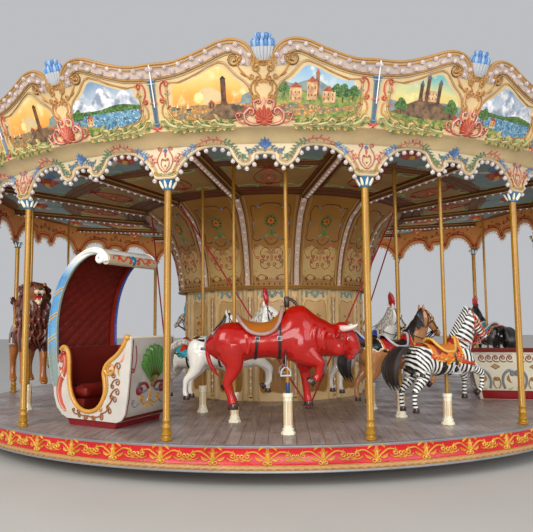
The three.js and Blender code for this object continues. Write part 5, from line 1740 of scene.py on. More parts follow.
def horse_extras(skin, dress, rng):
    extras = Form()
    for side in (-1, 1):
        hoof(extras, (-0.572, side * 0.11, 0.462), 0.037, 0.05)
    hoof(extras, (0.395, 0.11, 0.54), 0.037, 0.05)
    hoof(extras, (0.395, -0.11, 0.605), 0.037, 0.05, pitch=1.0)
    eye(extras, (0.478, 0.056, 1.455), 0.015)
    for side in (-1, 1):
        extras.ball([0.665, side * 0.02, 1.232], [0.01, 0.008, 0.009], "dark", 5, 8)
    mouth = smooth([(0.6, -0.045, 1.222), (0.645, -0.036, 1.2), (0.668, 0, 1.19), (0.645, 0.036, 1.2),
                    (0.6, 0.045, 1.222)], 3)
    extras.tube(mouth, 0.005, "mouth", 5)
    # Mane on both sides of the crest of the neck, and the forelock
    hair = dress["hair"]
    if hair == "stripe_mane":
        for k in range(24):
            t = k / 23
            x, z = 0.4 - 0.27 * t ** 0.9, 1.565 - 0.34 * t
            extras.tube([(x, 0, z - 0.04), (x - 0.035, 0, z + 0.01), (x - 0.06, 0, z + 0.045)], [0.022, 0.02, 0.006],
                        "dark" if k % 2 else "white", 6, 0.6)
    else:
        for side in (-1, 1):
            t = np.linspace(0, 1, 20)
            roots = np.column_stack([0.365 - 0.25 * t ** 1.1, np.full(20, side * 0.012), 1.55 - 0.33 * t])
            falls = np.column_stack([-0.05 + 0.05 * np.sin(t * 9), side * np.full(20, 0.085),
                                     -0.15 - 0.03 * np.cos(t * 7)])
            locks(extras, roots, falls, 0.022, hair, rng)
        locks(extras, [(0.39, s, 1.56) for s in (-0.02, 0, 0.02)], [(0.07, s, -0.07) for s in (-0.02, 0, 0.02)], 0.016,
              hair, rng)
    # Tail, arched back and down
    for k in range(13):
        y, rise = (k % 7 - 3) * 0.016, 0.025 * (k // 7)
        path = smooth([(-0.545, y * 0.3, 1.08), (-0.65, y * 0.8, 1.125 - rise), (-0.77, y * 1.5, 1.06 - rise),
                       (-0.845 + rise, y * 1.9, 0.93), (-0.84 + rise, y * 1.7, 0.79 + 0.02 * (k % 2)),
                       (-0.77 + rise, y * 1.2, 0.66 + 0.025 * (k % 3))], 3)
        thick = sizes_along(path, [0, 0.25, 0.65, 1], [0.018, 0.026, 0.03, 0.004])
        extras.tube(path, thick, "dark" if hair == "stripe_mane" else hair, 6)
    # Cloths, saddle and straps
    low_edge = lambda x: -float(100 + 9 * math.sin(x * 40) - 90 * abs(x + 0.08) * (abs(x + 0.08) > 0.16))
    skin.cloth(extras, np.linspace(-0.34, 0.14, 25), low_edge, lambda x: -low_edge(x), 0.009, dress["cloth"],
               (0.009, dress["edge"]), 31)
    short = lambda x: -float(66 + 6 * math.sin(x * 48 + 1))
    skin.cloth(extras, np.linspace(-0.28, 0.1, 21), short, lambda x: -short(x), 0.018, dress["second"],
               (0.008, "bright_gold"), 25)
    if dress.get("rump"):
        rump_edge = lambda x: -float(70 + 6 * math.sin(x * 52))
        skin.cloth(extras, np.linspace(-0.56, -0.37, 12), rump_edge, lambda x: -rump_edge(x), 0.01, dress["rump"],
                   (0.009, "cream"), 23)
    for side in (-1, 1):
        for k in range(7):
            x = -0.31 + k * 0.07
            at = skin.ring((x, 0, spine_height), (0, 0, 1), (0, side, 0), [math.radians(-low_edge(x) - 8)], 0.014)[0]
            extras.ball(at, 0.012, "bright_gold", 4, 7)
    seat_form(extras, [(-0.26, 1.235, 0.07, 0.02), (-0.22, 1.2, 0.12, 0.05), (-0.13, 1.165, 0.15, 0.075),
                       (0.0, 1.165, 0.14, 0.075), (0.06, 1.195, 0.1, 0.06), (0.1, 1.25, 0.05, 0.02)], dress["saddle"],
              (0.9, dress["rim"]), 0.018)
    for side in (-1, 1):
        skin.cloth(extras, np.linspace(-0.14, 0.05, 7), lambda x: side * 34.0,
                   lambda x: side * float(np.interp(x, [-0.14, -0.1, 0.0, 0.05], [62, 84, 84, 66])), 0.026,
                   dress["saddle"], (0.008, dress["rim"]), 10)
        stirrup(extras, side * 0.88, -0.03, 1.06, 0.83)
    for x in (-0.16, 0.02):
        skin.strap(extras, (x, 0, 0.97), (1, 0, 0), 0.028, "strap", 180, 360, lift=0.008)
    studs = (14, 0.011, "bright_gold")
    skin.strap(extras, (0.1, 0, 1.02), (0.25, 0, 1.0), 0.05, dress["strap"], -190, 10, lift=0.01, studs=studs)
    skin.strap(extras, (-0.35, 0, 1.03), (0.15, 0, 1.0), dress.get("band", 0.035), dress["strap"], -10, 190, lift=0.009,
               studs=studs if dress.get("band") else None)
    for at, along, wide in (((0.605, 0, 1.282), (0.62, 0, -0.78), 0.02), ((0.51, 0, 1.395), (0.62, 0, -0.78), 0.018),
                            ((0.43, 0, 1.47), (0.75, 0, 0.1), 0.018)):
        skin.strap(extras, at, along, wide, dress["bridle"], lift=0.006, steps=26)
    for side in (-1, 1):
        line = [(0.605, side * 0.045, 1.285), (0.55, side * 0.06, 1.345), (0.49, side * 0.068, 1.41),
                (0.44, side * 0.06, 1.49)]
        extras.tube(smooth(line, 3), 0.007, dress["bridle"], 6)
        extras.ball([0.605, side * 0.042, 1.272], [0.014, 0.008, 0.014], "bright_gold", 5, 8)
        extras.ball([0.49, side * 0.07, 1.41], [0.013, 0.008, 0.013], "bright_gold", 5, 8)
        rein = [(0.605, side * 0.046, 1.27), (0.5, side * 0.1, 1.2), (0.33, side * 0.125, 1.16),
                (0.2, side * 0.09, 1.2),
                (0.09, side * 0.03, 1.24)]
        extras.tube(smooth(rein, 4), 0.006, dress["bridle"], 5)
    if dress.get("plume"):
        for lean, tall in ((-0.024, 0.19), (-0.008, 0.22), (0.01, 0.23), (0.026, 0.2)):
            plume = smooth([(0.408, lean * 0.4, 1.54), (0.404, lean, 1.54 + tall * 0.35),
                            (0.394, lean * 1.2, 1.54 + tall * 0.75),
                            (0.372, lean * 1.3, 1.54 + tall)], 3)
            extras.tube(plume, sizes_along(plume, [0, 0.35, 0.75, 1], [0.014, 0.032, 0.026, 0.006]),
                        dress["plume"], 8)
    if dress.get("star"):
        for side in (-1, 1):
            at = skin.ring((0.29, 0, 1.2), (0, side, 0), (0.5, 0, 0.8), [0.0], 0.004)[0]
            for k in range(5):
                turn = math.radians(90 + 72 * k)
                extras.tube([at, at + [0.05 * math.cos(turn), 0, 0.05 * math.sin(turn)]], [0.018, 0.002],
                            dress["star"], 5)
    return extras


def lion():
    raw = Form()
    limb(raw, [
        (-0.72, 0, 1.01, 0.05, 0.07), (-0.66, 0, 1.0, 0.14, 0.16), (-0.54, 0, 0.99, 0.18, 0.2),
        (-0.4, 0, 0.98, 0.18, 0.195), (-0.15, 0, 0.97, 0.178, 0.18), (0.1, 0, 1.0, 0.195, 0.215),
        (0.24, 0, 1.06, 0.18, 0.22), (0.32, 0, 1.16, 0.16, 0.2),
    ], sides=18)
    # Mane under its locks: round behind the head, then a wedge that comes to a point before the chest
    limb(raw, [(0.14, 0, 1.18, 0.18, 0.22), (0.25, 0, 1.36, 0.2, 0.26), (0.34, 0, 1.5, 0.195, 0.21),
               (0.4, 0, 1.57, 0.165, 0.13)], sides=18)
    limb(raw, [(0.4, 0, 1.44, 0.19, 0.15), (0.41, 0, 1.22, 0.19, 0.13), (0.39, 0, 1.0, 0.15, 0.1),
               (0.345, 0, 0.86, 0.09, 0.07), (0.31, 0, 0.74, 0.03, 0.03)], sides=18)
    raw.ball([0.47, 0, 1.545], [0.125, 0.115, 0.115], "coat", 12, 18)
    limb(raw, [(0.47, 0, 1.6, 0.09, 0.055), (0.58, 0, 1.585, 0.055, 0.035)], sides=14)
    limb(raw, [(0.5, 0, 1.555, 0.085, 0.072), (0.58, 0, 1.566, 0.075, 0.058), (0.65, 0, 1.574, 0.06, 0.043),
               (0.685, 0, 1.574, 0.044, 0.03)], sides=16)
    limb(raw, [(0.46, 0, 1.47, 0.072, 0.045), (0.54, 0, 1.447, 0.06, 0.034), (0.605, 0, 1.428, 0.05, 0.032),
               (0.645, 0, 1.424, 0.038, 0.027)], sides=14)
    hind = [(-0.5, 0.1, 0.98, 0.1, 0.15), (-0.51, 0.115, 0.84, 0.085, 0.12), (-0.53, 0.12, 0.7, 0.064, 0.08),
            (-0.59, 0.12, 0.58, 0.048, 0.056), (-0.6, 0.12, 0.48, 0.04, 0.046), (-0.575, 0.12, 0.38, 0.042, 0.046),
            (-0.53, 0.12, 0.33, 0.056, 0.04), (-0.48, 0.12, 0.315, 0.05, 0.03)]
    front = [(0.22, 0.12, 0.98, 0.085, 0.13), (0.29, 0.128, 0.82, 0.068, 0.085), (0.34, 0.13, 0.68, 0.055, 0.062),
             (0.345, 0.13, 0.54, 0.046, 0.05), (0.36, 0.13, 0.42, 0.048, 0.05), (0.4, 0.13, 0.35, 0.06, 0.042),
             (0.45, 0.13, 0.33, 0.052, 0.03)]
    for leg in (hind, other_side(hind), front, other_side(front)):
        limb(raw, leg, sides=12)
    for side in (-1, 1):
        raw.ball([-0.54, side * 0.1, 0.98], [0.13, 0.085, 0.16], "coat", 9, 14)
        raw.ball([0.22, side * 0.11, 1.0], [0.12, 0.09, 0.16], "coat", 9, 14)
        raw.ball([0.655, side * 0.036, 1.55], [0.044, 0.038, 0.036], "coat", 8, 12)
        raw.ball([0.575, side * 0.055, 1.605], [0.04, 0.022, 0.018], "coat", 8, 12)
        for foot_x, foot_z in ((0.46, 0.315), (-0.47, 0.3)):
            for toe in (-1, 0, 1):
                raw.ball([foot_x + 0.015 * (1 - abs(toe)), side * 0.125 + toe * 0.03, foot_z], [0.034, 0.018, 0.024],
                         "coat", 6, 8)
    body = fused(raw, 0.012, 4)
    skin = Skin(body)
    recolour(body, [
        (lambda x, y, z: z < 0.78, "lion_leg"),
        (lambda x, y, z: (z > 0.74) & (z < 1.44) & (x > 0.27 + 0.1 * np.abs(z - 1.1)), "mane_dark"),
        (lambda x, y, z: (z > 1.24) & (x < 0.46) & (x > 0.02 + 0.45 * (z - 1.24)), "mane_dark"),
        (lambda x, y, z: (x > 0.63) & (z < 1.575) & (z > 1.5), "lion_cream"),
        (lambda x, y, z: (x > 0.585) & (z < 1.44) & (z > 1.36), "lion_cream"),
    ])
    extras, rng = Form(), np.random.default_rng(11)
    eye(extras, (0.602, 0.06, 1.592), 0.015)
    extras.ball([0.702, 0, 1.592], [0.02, 0.027, 0.017], "dark", 7, 10)
    extras.ball([0.632, 0, 1.402], [0.034, 0.032, 0.028], "lion_cream", 7, 10)
    limb(extras, [(0.47, 0, 1.505, 0.058, 0.04), (0.55, 0, 1.49, 0.052, 0.034), (0.618, 0, 1.484, 0.04, 0.026)],
         "mouth_red", 12)
    limb(extras, [(0.53, 0, 1.474, 0.036, 0.013), (0.6, 0, 1.46, 0.034, 0.012), (0.65, 0, 1.456, 0.022, 0.008)],
         "coral", 10)
    for side in (-1, 1):
        extras.tube([(0.66, side * 0.032, 1.53), (0.663, side * 0.032, 1.495)], [0.01, 0.002], "white", 6)
        extras.tube([(0.64, side * 0.027, 1.44), (0.643, side * 0.027, 1.468)], [0.009, 0.002], "white", 6)
        extras.ball([0.47, side * 0.1, 1.66], [0.022, 0.028, 0.03], "lion_leg", 7, 10)
    # Ruff of carved locks round the face, swept outwards and back
    for ring, (at_x, reach, length, size) in enumerate(((0.4, 0.15, 0.15, 0.032), (0.34, 0.165, 0.17, 0.036),
                                                         (0.26, 0.17, 0.18, 0.036))):
        turns = np.radians(np.arange(-120, 121, 20) + 10 * (ring % 2))
        roots = np.column_stack([np.full(len(turns), at_x), np.sin(turns) * reach, 1.53 + np.cos(turns) * reach * 0.72])
        falls = np.column_stack([np.full(len(turns), -0.09), np.sin(turns) * 0.05,
                                 np.where(np.cos(turns) > 0.2, 0.055, -length)])
        carved_locks(extras, roots, falls, size, "mane_brown" if ring % 2 else "mane_dark", rng)
    # Locks of the breast hang in tiers and draw together towards the point
    for tier, height in enumerate(np.linspace(1.4, 0.96, 6)):
        turns = np.radians(np.linspace(-88, 88, 10) + 9 * (tier % 2))
        centre = (0.3, 0, height)
        roots = skin.ring(centre, (1, 0, 0), (0, 1, 0), turns, 0.004, 0.5)
        out = roots - np.array(centre)
        falls = np.column_stack([np.full(len(turns), -0.025), out[:, 1] * (-0.25 if height > 1.1 else -0.5),
                                 np.full(len(turns), -0.17)])
        carved_locks(extras, roots, falls, 0.03, ("mane_brown", "mane_dark")[tier % 2], rng)
    for side in (-1, 1):
        for height in (1.36, 1.2, 1.06):
            turns = np.radians(np.array([105, 122, 140])) * side
            roots = skin.ring((0.24, 0, height), (1, 0, 0), (0, 1, 0), turns, 0.0, 0.5)
            carved_locks(extras, roots, np.tile([-0.05, 0, -0.16], (3, 1)), 0.034, "mane_brown", rng)
    tail = smooth([(-0.66, 0, 1.06), (-0.755, -0.03, 1.1), (-0.8, -0.07, 1.24), (-0.79, -0.09, 1.38),
                   (-0.795, -0.1, 1.44)], 4)
    extras.tube(tail, 0.022, "lion_leg", 8)
    roots = np.tile([-0.793, -0.1, 1.42], (8, 1))
    turns = full_turn(8)
    falls = np.column_stack([0.02 * np.cos(turns), 0.035 * np.sin(turns) - 0.01, np.full(8, 0.12)])
    carved_locks(extras, roots, falls, 0.02, "mane_dark", rng)
    edge_of = lambda x: -float(88 + 8 * math.sin(x * 36))
    skin.cloth(extras, np.linspace(-0.4, 0.06, 21), edge_of, lambda x: -edge_of(x), 0.01, "magenta",
               (0.01, "turquoise"), 29)
    short = lambda x: -float(60 + 6 * math.sin(x * 44))
    skin.cloth(extras, np.linspace(-0.34, 0.02, 15), short, lambda x: -short(x), 0.02, "turquoise",
               (0.009, "bright_gold"), 21)
    seat_form(extras, [(-0.31, 1.27, 0.08, 0.02), (-0.26, 1.22, 0.14, 0.05), (-0.16, 1.185, 0.18, 0.09),
                       (-0.03, 1.19, 0.17, 0.08), (0.03, 1.23, 0.11, 0.05), (0.07, 1.285, 0.05, 0.02)], "magenta",
              (0.9, "bright_gold"), 0.018)
    for side in (-1, 1):
        stirrup(extras, side, -0.1, 1.06, 0.84)
    for x in (-0.25, 0.0):
        skin.strap(extras, (x, 0, 0.98), (1, 0, 0), 0.03, "strap", 180, 360, lift=0.009)
    return body, extras, {"coat": "lion_coat"}


# Name, slot, distance from the axis, azimuth, lift above the deck, drop of the pole, height of its guide column
FIGURES = [
    ("bull", "bull_red", 4.25, 2.8, 0.0, 0.16, 0.44), ("zebra", "zebra_paint", 4.2, 29.6, -0.23, 0.01, 0.36),
    ("lion", "lion_brown", 4.15, -57, 0.09, 0.2, 0.36), ("brown_horse", "horse_brown", 3.5, 27.9, -0.19, 0.05, 0.36),
    ("white_horse", "horse_white", 3.45, -7.3, -0.14, 0.1, 0.36),
    ("teal_horse", "horse_white", 2.745, -20, -0.23, 0.01, 0.36),
    ("plumed_horse", "horse_white", 2.75, 30, -0.15, 0.09, 0.36),
    ("black_horse", "horse_black", 4.2, 102.9, -0.06, 0.18, 0.36),
    ("chestnut_horse", "horse_chestnut", 4.2, 154.3, -0.2, 0.04, 0.36),
    ("grey_horse", "horse_grey", 4.2, -154.3, -0.09, 0.15, 0.36),
    ("palomino_horse", "horse_palomino", 4.2, -102.9, -0.17, 0.07, 0.36),
]


def dressed(paints, **more):
    return dict(zip("coat hair cloth edge second saddle rim strap bridle".split(), paints.split()), **more)


DRESSES = {
    "zebra": dressed("zebra_coat stripe_mane orange bright_gold crimson orange bright_gold red_orange red_orange",
                     band=0.055),
    "brown_horse": dressed("coat_tan hair cloth_red orange cloth_red saddle_black silver strap strap",
                           rump="saddle_black"),
    "white_horse": dressed("coat_white hair_grey turquoise silver cloth_blue cloth_red silver strap strap",
                           plume="cloth_red", star="cloth_blue"),
    "teal_horse": dressed("coat_white hair turquoise turquoise_dark red_orange red_orange crimson strap strap"),
    "plumed_horse": dressed("coat_white hair_grey crimson bright_gold cloth_blue saddle_black silver strap strap",
                            plume="cloth_red"),
    "black_horse": dressed("coat_black hair cloth_red bright_gold turquoise saddle_tan silver cloth_red cloth_red",
                           plume="cloth_red"),
    "chestnut_horse": dressed("coat_chestnut hair cloth_blue bright_gold magenta saddle_tan silver strap strap"),
    "grey_horse": dressed("coat_grey hair_grey magenta silver turquoise saddle_black silver strap strap",
                          plume="turquoise"),
    "palomino_horse": dressed("coat_palomino hair_cream green bright_gold cloth_red saddle_tan silver cloth_red "
                              "cloth_red"),
}


def gloss(code, rough=0.14, vary=0.12, coat=0.7):
    """Lacquered paint over carved wood: cloudy colour, scuffs and painted shade in the recesses under a clear coat."""
    def make(name):
        n = Nodes(name)
        cloud = n.cloud(5.0, 5.0)
        colour = n.mix(cloud, shade_of(code, 1 - vary), shade_of(code, 1 + vary * 0.5))
        scuff = n.cloud(55.0, 4.0, 0.62, 0.72, 0.0, 0.3)
        colour = n.mix(scuff, colour, shade_of(code, 0.6))
        # Painted shade: darker where the surface is hollow
        edge = n.make("ShaderNodeNewGeometry").outputs["Pointiness"]
        colour = n.mix(n.ranged(edge, 0.4, 0.49, 0.5, 0.0), colour, shade_of(code, 0.3))
        n.set(Base_Color=colour, Coat_Weight=coat, Coat_Roughness=0.06, Specular_IOR_Level=0.25)
        n.set(Roughness=n.cloud(14.0, 4.0, 0.3, 0.7, rough, rough + 0.16))
        n.bump(n.noise(30.0, 3.0), 0.12, 0.004)
        return n.material
    return make


def hair_paint(light, dark):
    def make(name):
        n = Nodes(name)
        fine = n.make("ShaderNodeMapping", {"Vector": n.place, "Scale": (60.0, 60.0, 9.0)}).outputs[0]
        strand = n.ranged(n.noise(1.5, 4.0, fine), 0.4, 0.6, 0.0, 1.0)
        n.set(Base_Color=n.mix(strand, hue(dark), hue(light)), Roughness=0.35, Coat_Weight=0.3)
        n.bump(strand, 0.35, 0.004)
        return n.material
    return make


def zebra_coat(name):
    n = Nodes(name)
    tone = n.make("ShaderNodeVertexColor", layer_name="tone").outputs[0]
    wobble = n.math("MULTIPLY", n.math("SUBTRACT", n.noise(7.0, 3.0), 0.5), 0.9)
    wave = n.math("SINE", n.math("ADD", n.math("MULTIPLY", tone, 100.0), n.math("MULTIPLY", wobble, 2.2)))
    stripe = n.ranged(wave, -0.05, 0.12)
    n.set(Base_Color=n.mix(stripe, hue("#17140F"), hue("#EFECE4")), Coat_Weight=0.8, Coat_Roughness=0.06)
    n.set(Roughness=n.cloud(14.0, 4.0, 0.3, 0.7, 0.14, 0.3))
    n.bump(n.noise(30.0, 3.0), 0.12, 0.004)
    return n.material


SPECIAL.update({
    "bull_red": gloss("#AC0E04", 0.16, 0.14, coat=0.55), "muzzle": gloss("#A23A3A"), "horn": gloss("#EFDCD4"),
    "hoof": gloss("#3A2420"),
    "saddle_tan": gloss("#B0641C", 0.26), "pink_silver": gloss("#A8847C", 0.2), "navy": gloss("#1E3A68", 0.2),
    "strap": gloss("#2A1513", 0.3),
    "saddle_black": gloss("#1E1A1A", 0.2), "coat_tan": gloss("#C2834E"), "coat_white": gloss("#E9E4DA"),
    "coat_black": gloss("#1D1A1A"), "coat_chestnut": gloss("#7C3A1C"), "coat_grey": gloss("#A6A29D", vary=0.3),
    "coat_palomino": gloss("#CFA568"), "lion_coat": gloss("#84461E"), "lion_leg": gloss("#A2602A"),
    "lion_cream": gloss("#E4C9A2"), "mouth_red": gloss("#B3161A"), "mouth": gloss("#8E3A34"),
    "magenta": gloss("#A51F5E"), "turquoise": gloss("#1FA3B8"), "turquoise_dark": gloss("#14708A"),
    "cloth_red": gloss("#B3171C"), "cloth_blue": gloss("#2A4E9E"), "red_orange": gloss("#D8481C"),
    "hair": hair_paint("#2E2622", "#0E0C0C"), "hair_grey": hair_paint("#CFC8BE", "#7F7870"),
    "hair_cream": hair_paint("#EFE3C6", "#B79C6C"), "mane_brown": gloss("#70301A", 0.2),
    "mane_dark": gloss("#54200F", 0.22), "zebra_coat": zebra_coat,
})

HORSE_LINES = [
    [(-0.8, 0, 1.0), (0.3, 0, 0.98)], [(0.16, 0, 1.06), (0.42, 0, 1.5)], [(0.4, 0, 1.49), (0.66, 0, 1.21)],
    [(-0.42, 0.1, 0.9), (-0.47, 0.1, 0.76), (-0.58, 0.11, 0.64), (-0.57, 0.11, 0.45)],
    [(-0.42, -0.1, 0.9), (-0.47, -0.1, 0.76), (-0.58, -0.11, 0.64), (-0.57, -0.11, 0.45)],
    [(0.3, -0.1, 0.9), (0.46, -0.11, 0.8), (0.45, -0.11, 0.65), (0.4, -0.11, 0.6)],
    [(0.3, 0.1, 0.87), (0.4, 0.11, 0.74), (0.395, 0.11, 0.52)],
]
LINE_REACH = [0.17, 0.12, 0.07, 0.06, 0.06, 0.05, 0.05]


def stripe_tones(corners):
    """A stripe phase for each corner: the distance along the limb that it belongs to."""
    best, phase = np.full(len(corners), 1e9), np.zeros(len(corners))
    for line, reach in zip(HORSE_LINES, LINE_REACH):
        line, walked = np.array(line), 0.0
        for start, end in zip(line, line[1:]):
            along = end - start
            length = np.linalg.norm(along)
            t = np.clip((corners - start) @ along / length ** 2, -0.15, 1.15)
            gap = np.linalg.norm(corners - start - np.clip(t, 0, 1)[:, None] * along, axis=1) / reach
            nearer = gap < best
            best[nearer] = gap[nearer]
            phase[nearer] = (walked + t * length)[nearer] * (1.0 if reach > 0.1 else 1.5)
            if reach == LINE_REACH[0]:
                # Stripes lie down over the rump
                lean = np.clip((-0.12 - corners[:, 0]) / 0.35, 0, 1) ** 2
                phase[nearer] += (lean * 1.1 * (corners[:, 2] - 0.95))[nearer]
            walked += length
    tones = np.zeros((len(corners), 4))
    tones[:, :3] = phase[:, None]
    return tones


def deck_place(radius, azimuth, lift):
    a = math.radians(azimuth)
    c, s = math.cos(a), math.sin(a)

    def place(p):
        x, y, z = p[:, 0], p[:, 1], p[:, 2]
        return np.column_stack([x * c - y * s + radius * s, x * s + y * c - radius * c, deck_top + z + lift])

    return place


def repainted(form, names):
    made = form.mapped(lambda p: p)
    made.paints = [names.get(p, p) for p in made.paints]
    return made


def make_column(name, radius, azimuth, height):
    form, sides = Form(), 8
    profile = [(0.03, 0.0005), (0.078, 0.0005), (0.078, 0.02), (0.07, 0.028), (0.062, 0.034), (0.062, 0.06),
               (0.056, 0.066),
               (0.05, 0.072), (0.05, height - 0.05), (0.056, height - 0.044), (0.058, height - 0.012),
               (0.05, height - 0.004), (0.03, height - 0.002)]
    form.lathe(profile, "cream", sides)
    for k in range(sides):
        turn, reach = (k + 0.5) * math.pi / 4, 0.0478
        middle = np.array([reach * math.sin(turn), -reach * math.cos(turn)])
        across = np.array([math.cos(turn), math.sin(turn)]) * 0.012
        corners = (-1, 0.1), (1, 0.1), (1, height - 0.09), (-1, height - 0.09)
        form.tube([(*(middle + across * s), z) for s, z in corners], 0.0026, "gold", 5, closed=True)
    form.lathe([(0.03, height - 0.03), (0.036, height - 0.02), (0.036, height - 0.001), (0.025, height - 0.0005)],
               "cap_blue", 14)
    piece(f"{name}_guide", form.mapped(deck_place(radius, azimuth, 0)), "turntable",
          [f"{name}_column"], 35)


def make_creatures():
    horse = horse_body()
    skin = Skin(horse)
    shapes = {"bull": bull(), "lion": lion()}
    for k, (name, slot, radius, azimuth, lift, drop, column) in enumerate(FIGURES):
        if name in shapes:
            body, extras, names = shapes[name]
        else:
            body, dress = horse, DRESSES[name]
            extras, names = horse_extras(skin, dress, np.random.default_rng(40 + k)), {"coat": dress["coat"]}
        place = deck_place(radius, azimuth, lift)
        tones = stripe_tones(body.corners()) if name == "zebra" else None
        piece(f"{name}_body", repainted(body, names).mapped(place), name, [name], 60, tones)
        piece(f"{name}_trappings", thinned(repainted(extras, names).mapped(place), share=0.5), name, (), 50)
        top = float(ceiling_height(np.array(radius))) + 0.08 + drop
        pole = Form().lathe([(0.022, 0.06 + drop), (0.022, top)], "pole", 16)
        pole.lathe([(0.027, 0.06 + drop), (0.027, 0.072 + drop), (0.022, 0.076 + drop)], "cap_blue", 16)
        if name == "bull":
            pole.lathe([(0.022, column - 0.06), (0.0234, column - 0.055), (0.0234, column + 0.1),
                        (0.022, column + 0.11)],
                       "navy", 16)
        piece(f"{name}_pole", pole.mapped(deck_place(radius, azimuth, 0)), name, (), 40)
        make_column(name, radius, azimuth, column)


# Chariots, in the same local axes as a figure, narrowed towards the centre of the carousel

chariot_half = 0.45
chariot_taper = 0.2
bench_half = 0.66
bench_height = 0.71
bench_lean = 0.15
hood_outer = [(-0.6, 0.446), (-0.665, 0.64), (-0.705, 0.85), (-0.715, 1.08), (-0.69, 1.32), (-0.61, 1.58), (-0.48, 1.8),
              (-0.3, 1.98), (-0.1, 2.08), (0.06, 2.11), (0.19, 2.085), (0.275, 2.02), (0.31, 1.94)]
hood_inner = [(-0.5, 0.446), (-0.525, 0.64), (-0.56, 0.85), (-0.575, 1.08), (-0.565, 1.3), (-0.51, 1.53), (-0.4, 1.74),
              (-0.25, 1.905), (-0.06, 2.01), (0.08, 2.035), (0.16, 2.02), (0.2, 1.98), (0.215, 1.93)]


def chariot_place(radius, azimuth):
    on_deck = deck_place(radius, azimuth, 0)

    def place(p):
        inward = (p[:, 1] + chariot_half) / (2 * chariot_half)
        narrowed = p.copy()
        narrowed[:, 0] *= 1 - chariot_taper * inward
        return on_deck(narrowed)

    return place


def slab(form, outline, near, far, name):
    """An outline of (x, z) made solid between two values of y."""
    outline = np.asarray(outline, float)
    count = len(outline)
    rings = [beside(outline, y) for y in (near, far)]
    start = form.count
    form.grid(np.array(rings), name, loop_cols=True)
    form.faces += [tuple(start + j for j in range(count)), tuple(start + count + j for j in range(count))[::-1]]
    form.paints += [name, name]
    return form


def beside(line, y):
    """A line of (x, z) at one y."""
    return np.column_stack([line[:, 0], np.full(len(line), y), line[:, 1]])


def upright(y):
    """Flat ornament on a side wall: x along, z up, relief outwards."""
    return lambda p: np.column_stack([p[:, 0], y - p[:, 2], p[:, 1]])


def shell_dash_x(z):
    return np.interp(z, [0.08, 0.17, 0.55, 1.03], [0.5, 0.6, 0.66, 0.7])


def make_hood(place):
    """A hollow hood: back surface, a side wall at each end with its painted rim, and the roll over the top."""
    outer, inner = smooth(hood_outer, 5), smooth(hood_inner, 5)
    form, half, wall, pearl = Form(), chariot_half, 0.03, 0.009
    lined = outer * 0.72 + inner * 0.28
    ys = np.linspace(-half, half, 9)
    form.grid(np.array([[(x, y, z) for y in ys] for x, z in outer]), "hood_blue")
    form.grid(np.array([[(x, y, z) for y in ys] for x, z in lined]), "lining")
    for side in (-1, 1):
        rim = "hood_rim" if side < 0 else "cloth_blue"
        skins = [(outer, half), ((outer + inner) / 2, half + 0.012), (inner, half), (inner, half - wall),
                 (lined, half - wall)]
        for (a, ya), (b, yb), name in zip(skins, skins[1:], ("hood_blue", "hood_blue", rim, "lining_side")):
            form.grid(np.array([[(p[0], side * ya, p[1]), (q[0], side * yb, q[1])] for p, q in zip(a, b)]), name)
        form.tube(beside(inner, side * (half - 0.002))[:54], 0.01, rim, 8)
        form.tube(beside(outer, side * half), 0.011, "hood_blue", 8)
        # White moulding over the top that ends in a spiral
        crest = [(-0.32, 1.935), (-0.16, 2.03), (0.0, 2.072), (0.12, 2.066), (0.2, 2.03)]
        line = flourish(crest, None, (0.056, -1), 5, 1.35)
        size = sizes_along(line, [0, 0.35, 0.7, 1.0], [0.008, 0.03, 0.028, 0.012])
        form.tube(beside(line, side * (half + 0.002)), size, "white", 12)
    edges = [(outer[0], -half), (outer[0], half), (inner[0], half), (inner[0], -half)]
    form.face([(p[0], y, p[1]) for p, y in edges], "hood_blue")
    # Rows of pearls, two by two, round the sides and over the back
    for z in (1.57, 1.26, 0.99):
        for row in (-0.02, 0.02):
            x = float(np.interp(z + row, outer[:40, 1], outer[:40, 0]))
            for k in range(22):
                form.ball([x - 0.003, -half + 0.02 + k * 0.041, z + row], pearl, "bright_gold", 4, 7)
            a = np.array([x, z + row])
            b = np.array([np.interp(z + row + 0.07, inner[:40, 1], inner[:40, 0]), z + row + 0.07])
            for k in range(8):
                for side in (-1, 1):
                    p = a + (b - a) * (k + 0.4) / 8
                    y = side * (half + 0.011 * math.sin(math.pi * (k + 0.4) / 8) + 0.003)
                    form.ball([p[0], y, p[1]], pearl, "bright_gold", 5, 8)
    # Cream roll across the front lip with scrolls and a leaf
    turns, roll_x, roll_z, roll_size = full_turn(24), 0.262, 1.966, 0.066
    roll = np.array([[(roll_x + roll_size * math.cos(t), y, roll_z + roll_size * math.sin(t)) for t in turns]
                     for y in np.linspace(-half + 0.01, half - 0.01, 7)])
    form.grid(roll, "valance", loop_cols=True)
    for row in (roll[0], roll[-1][::-1]):
        form.face(row, "valance")
    art = Form()
    for side in (-1, 1):
        art.scroll([(side * 0.06, 0.0), (side * 0.12, 0.04), (side * 0.2, -0.02), (side * 0.28, 0.03)],
                   (0.024, side), (0.02, -side), 0.022, "red_orange", 0.012, 5)
        art.scroll([(side * 0.22, 0.045), (side * 0.32, 0.05), (side * 0.39, 0.02)], None, (0.015, -side), 0.014,
                   "coral", 0.01)
        art.leaf((side * 0.03, 0.0), (side * 0.11, 0.055), 0.034, "turquoise_dark", 0.2)
        art.leaf((side * 0.24, 0.02), (side * 0.3, -0.04), 0.026, "red_orange", 0.2)
    art.leaf((0, -0.07), (0, 0.09), 0.075, "turquoise_dark", 0, 0.02)
    form.join(art.mapped(lambda p: np.column_stack([
        roll_x + (roll_size + p[:, 2]) * np.cos(p[:, 1] / roll_size + 0.1), p[:, 0],
        roll_z + (roll_size + p[:, 2]) * np.sin(p[:, 1] / roll_size + 0.1)])))
    piece("hood_shell", thinned(form.mapped(place), share=0.7), replaces=["chariot_hood"], angle=50)
    make_lining(place, lined)


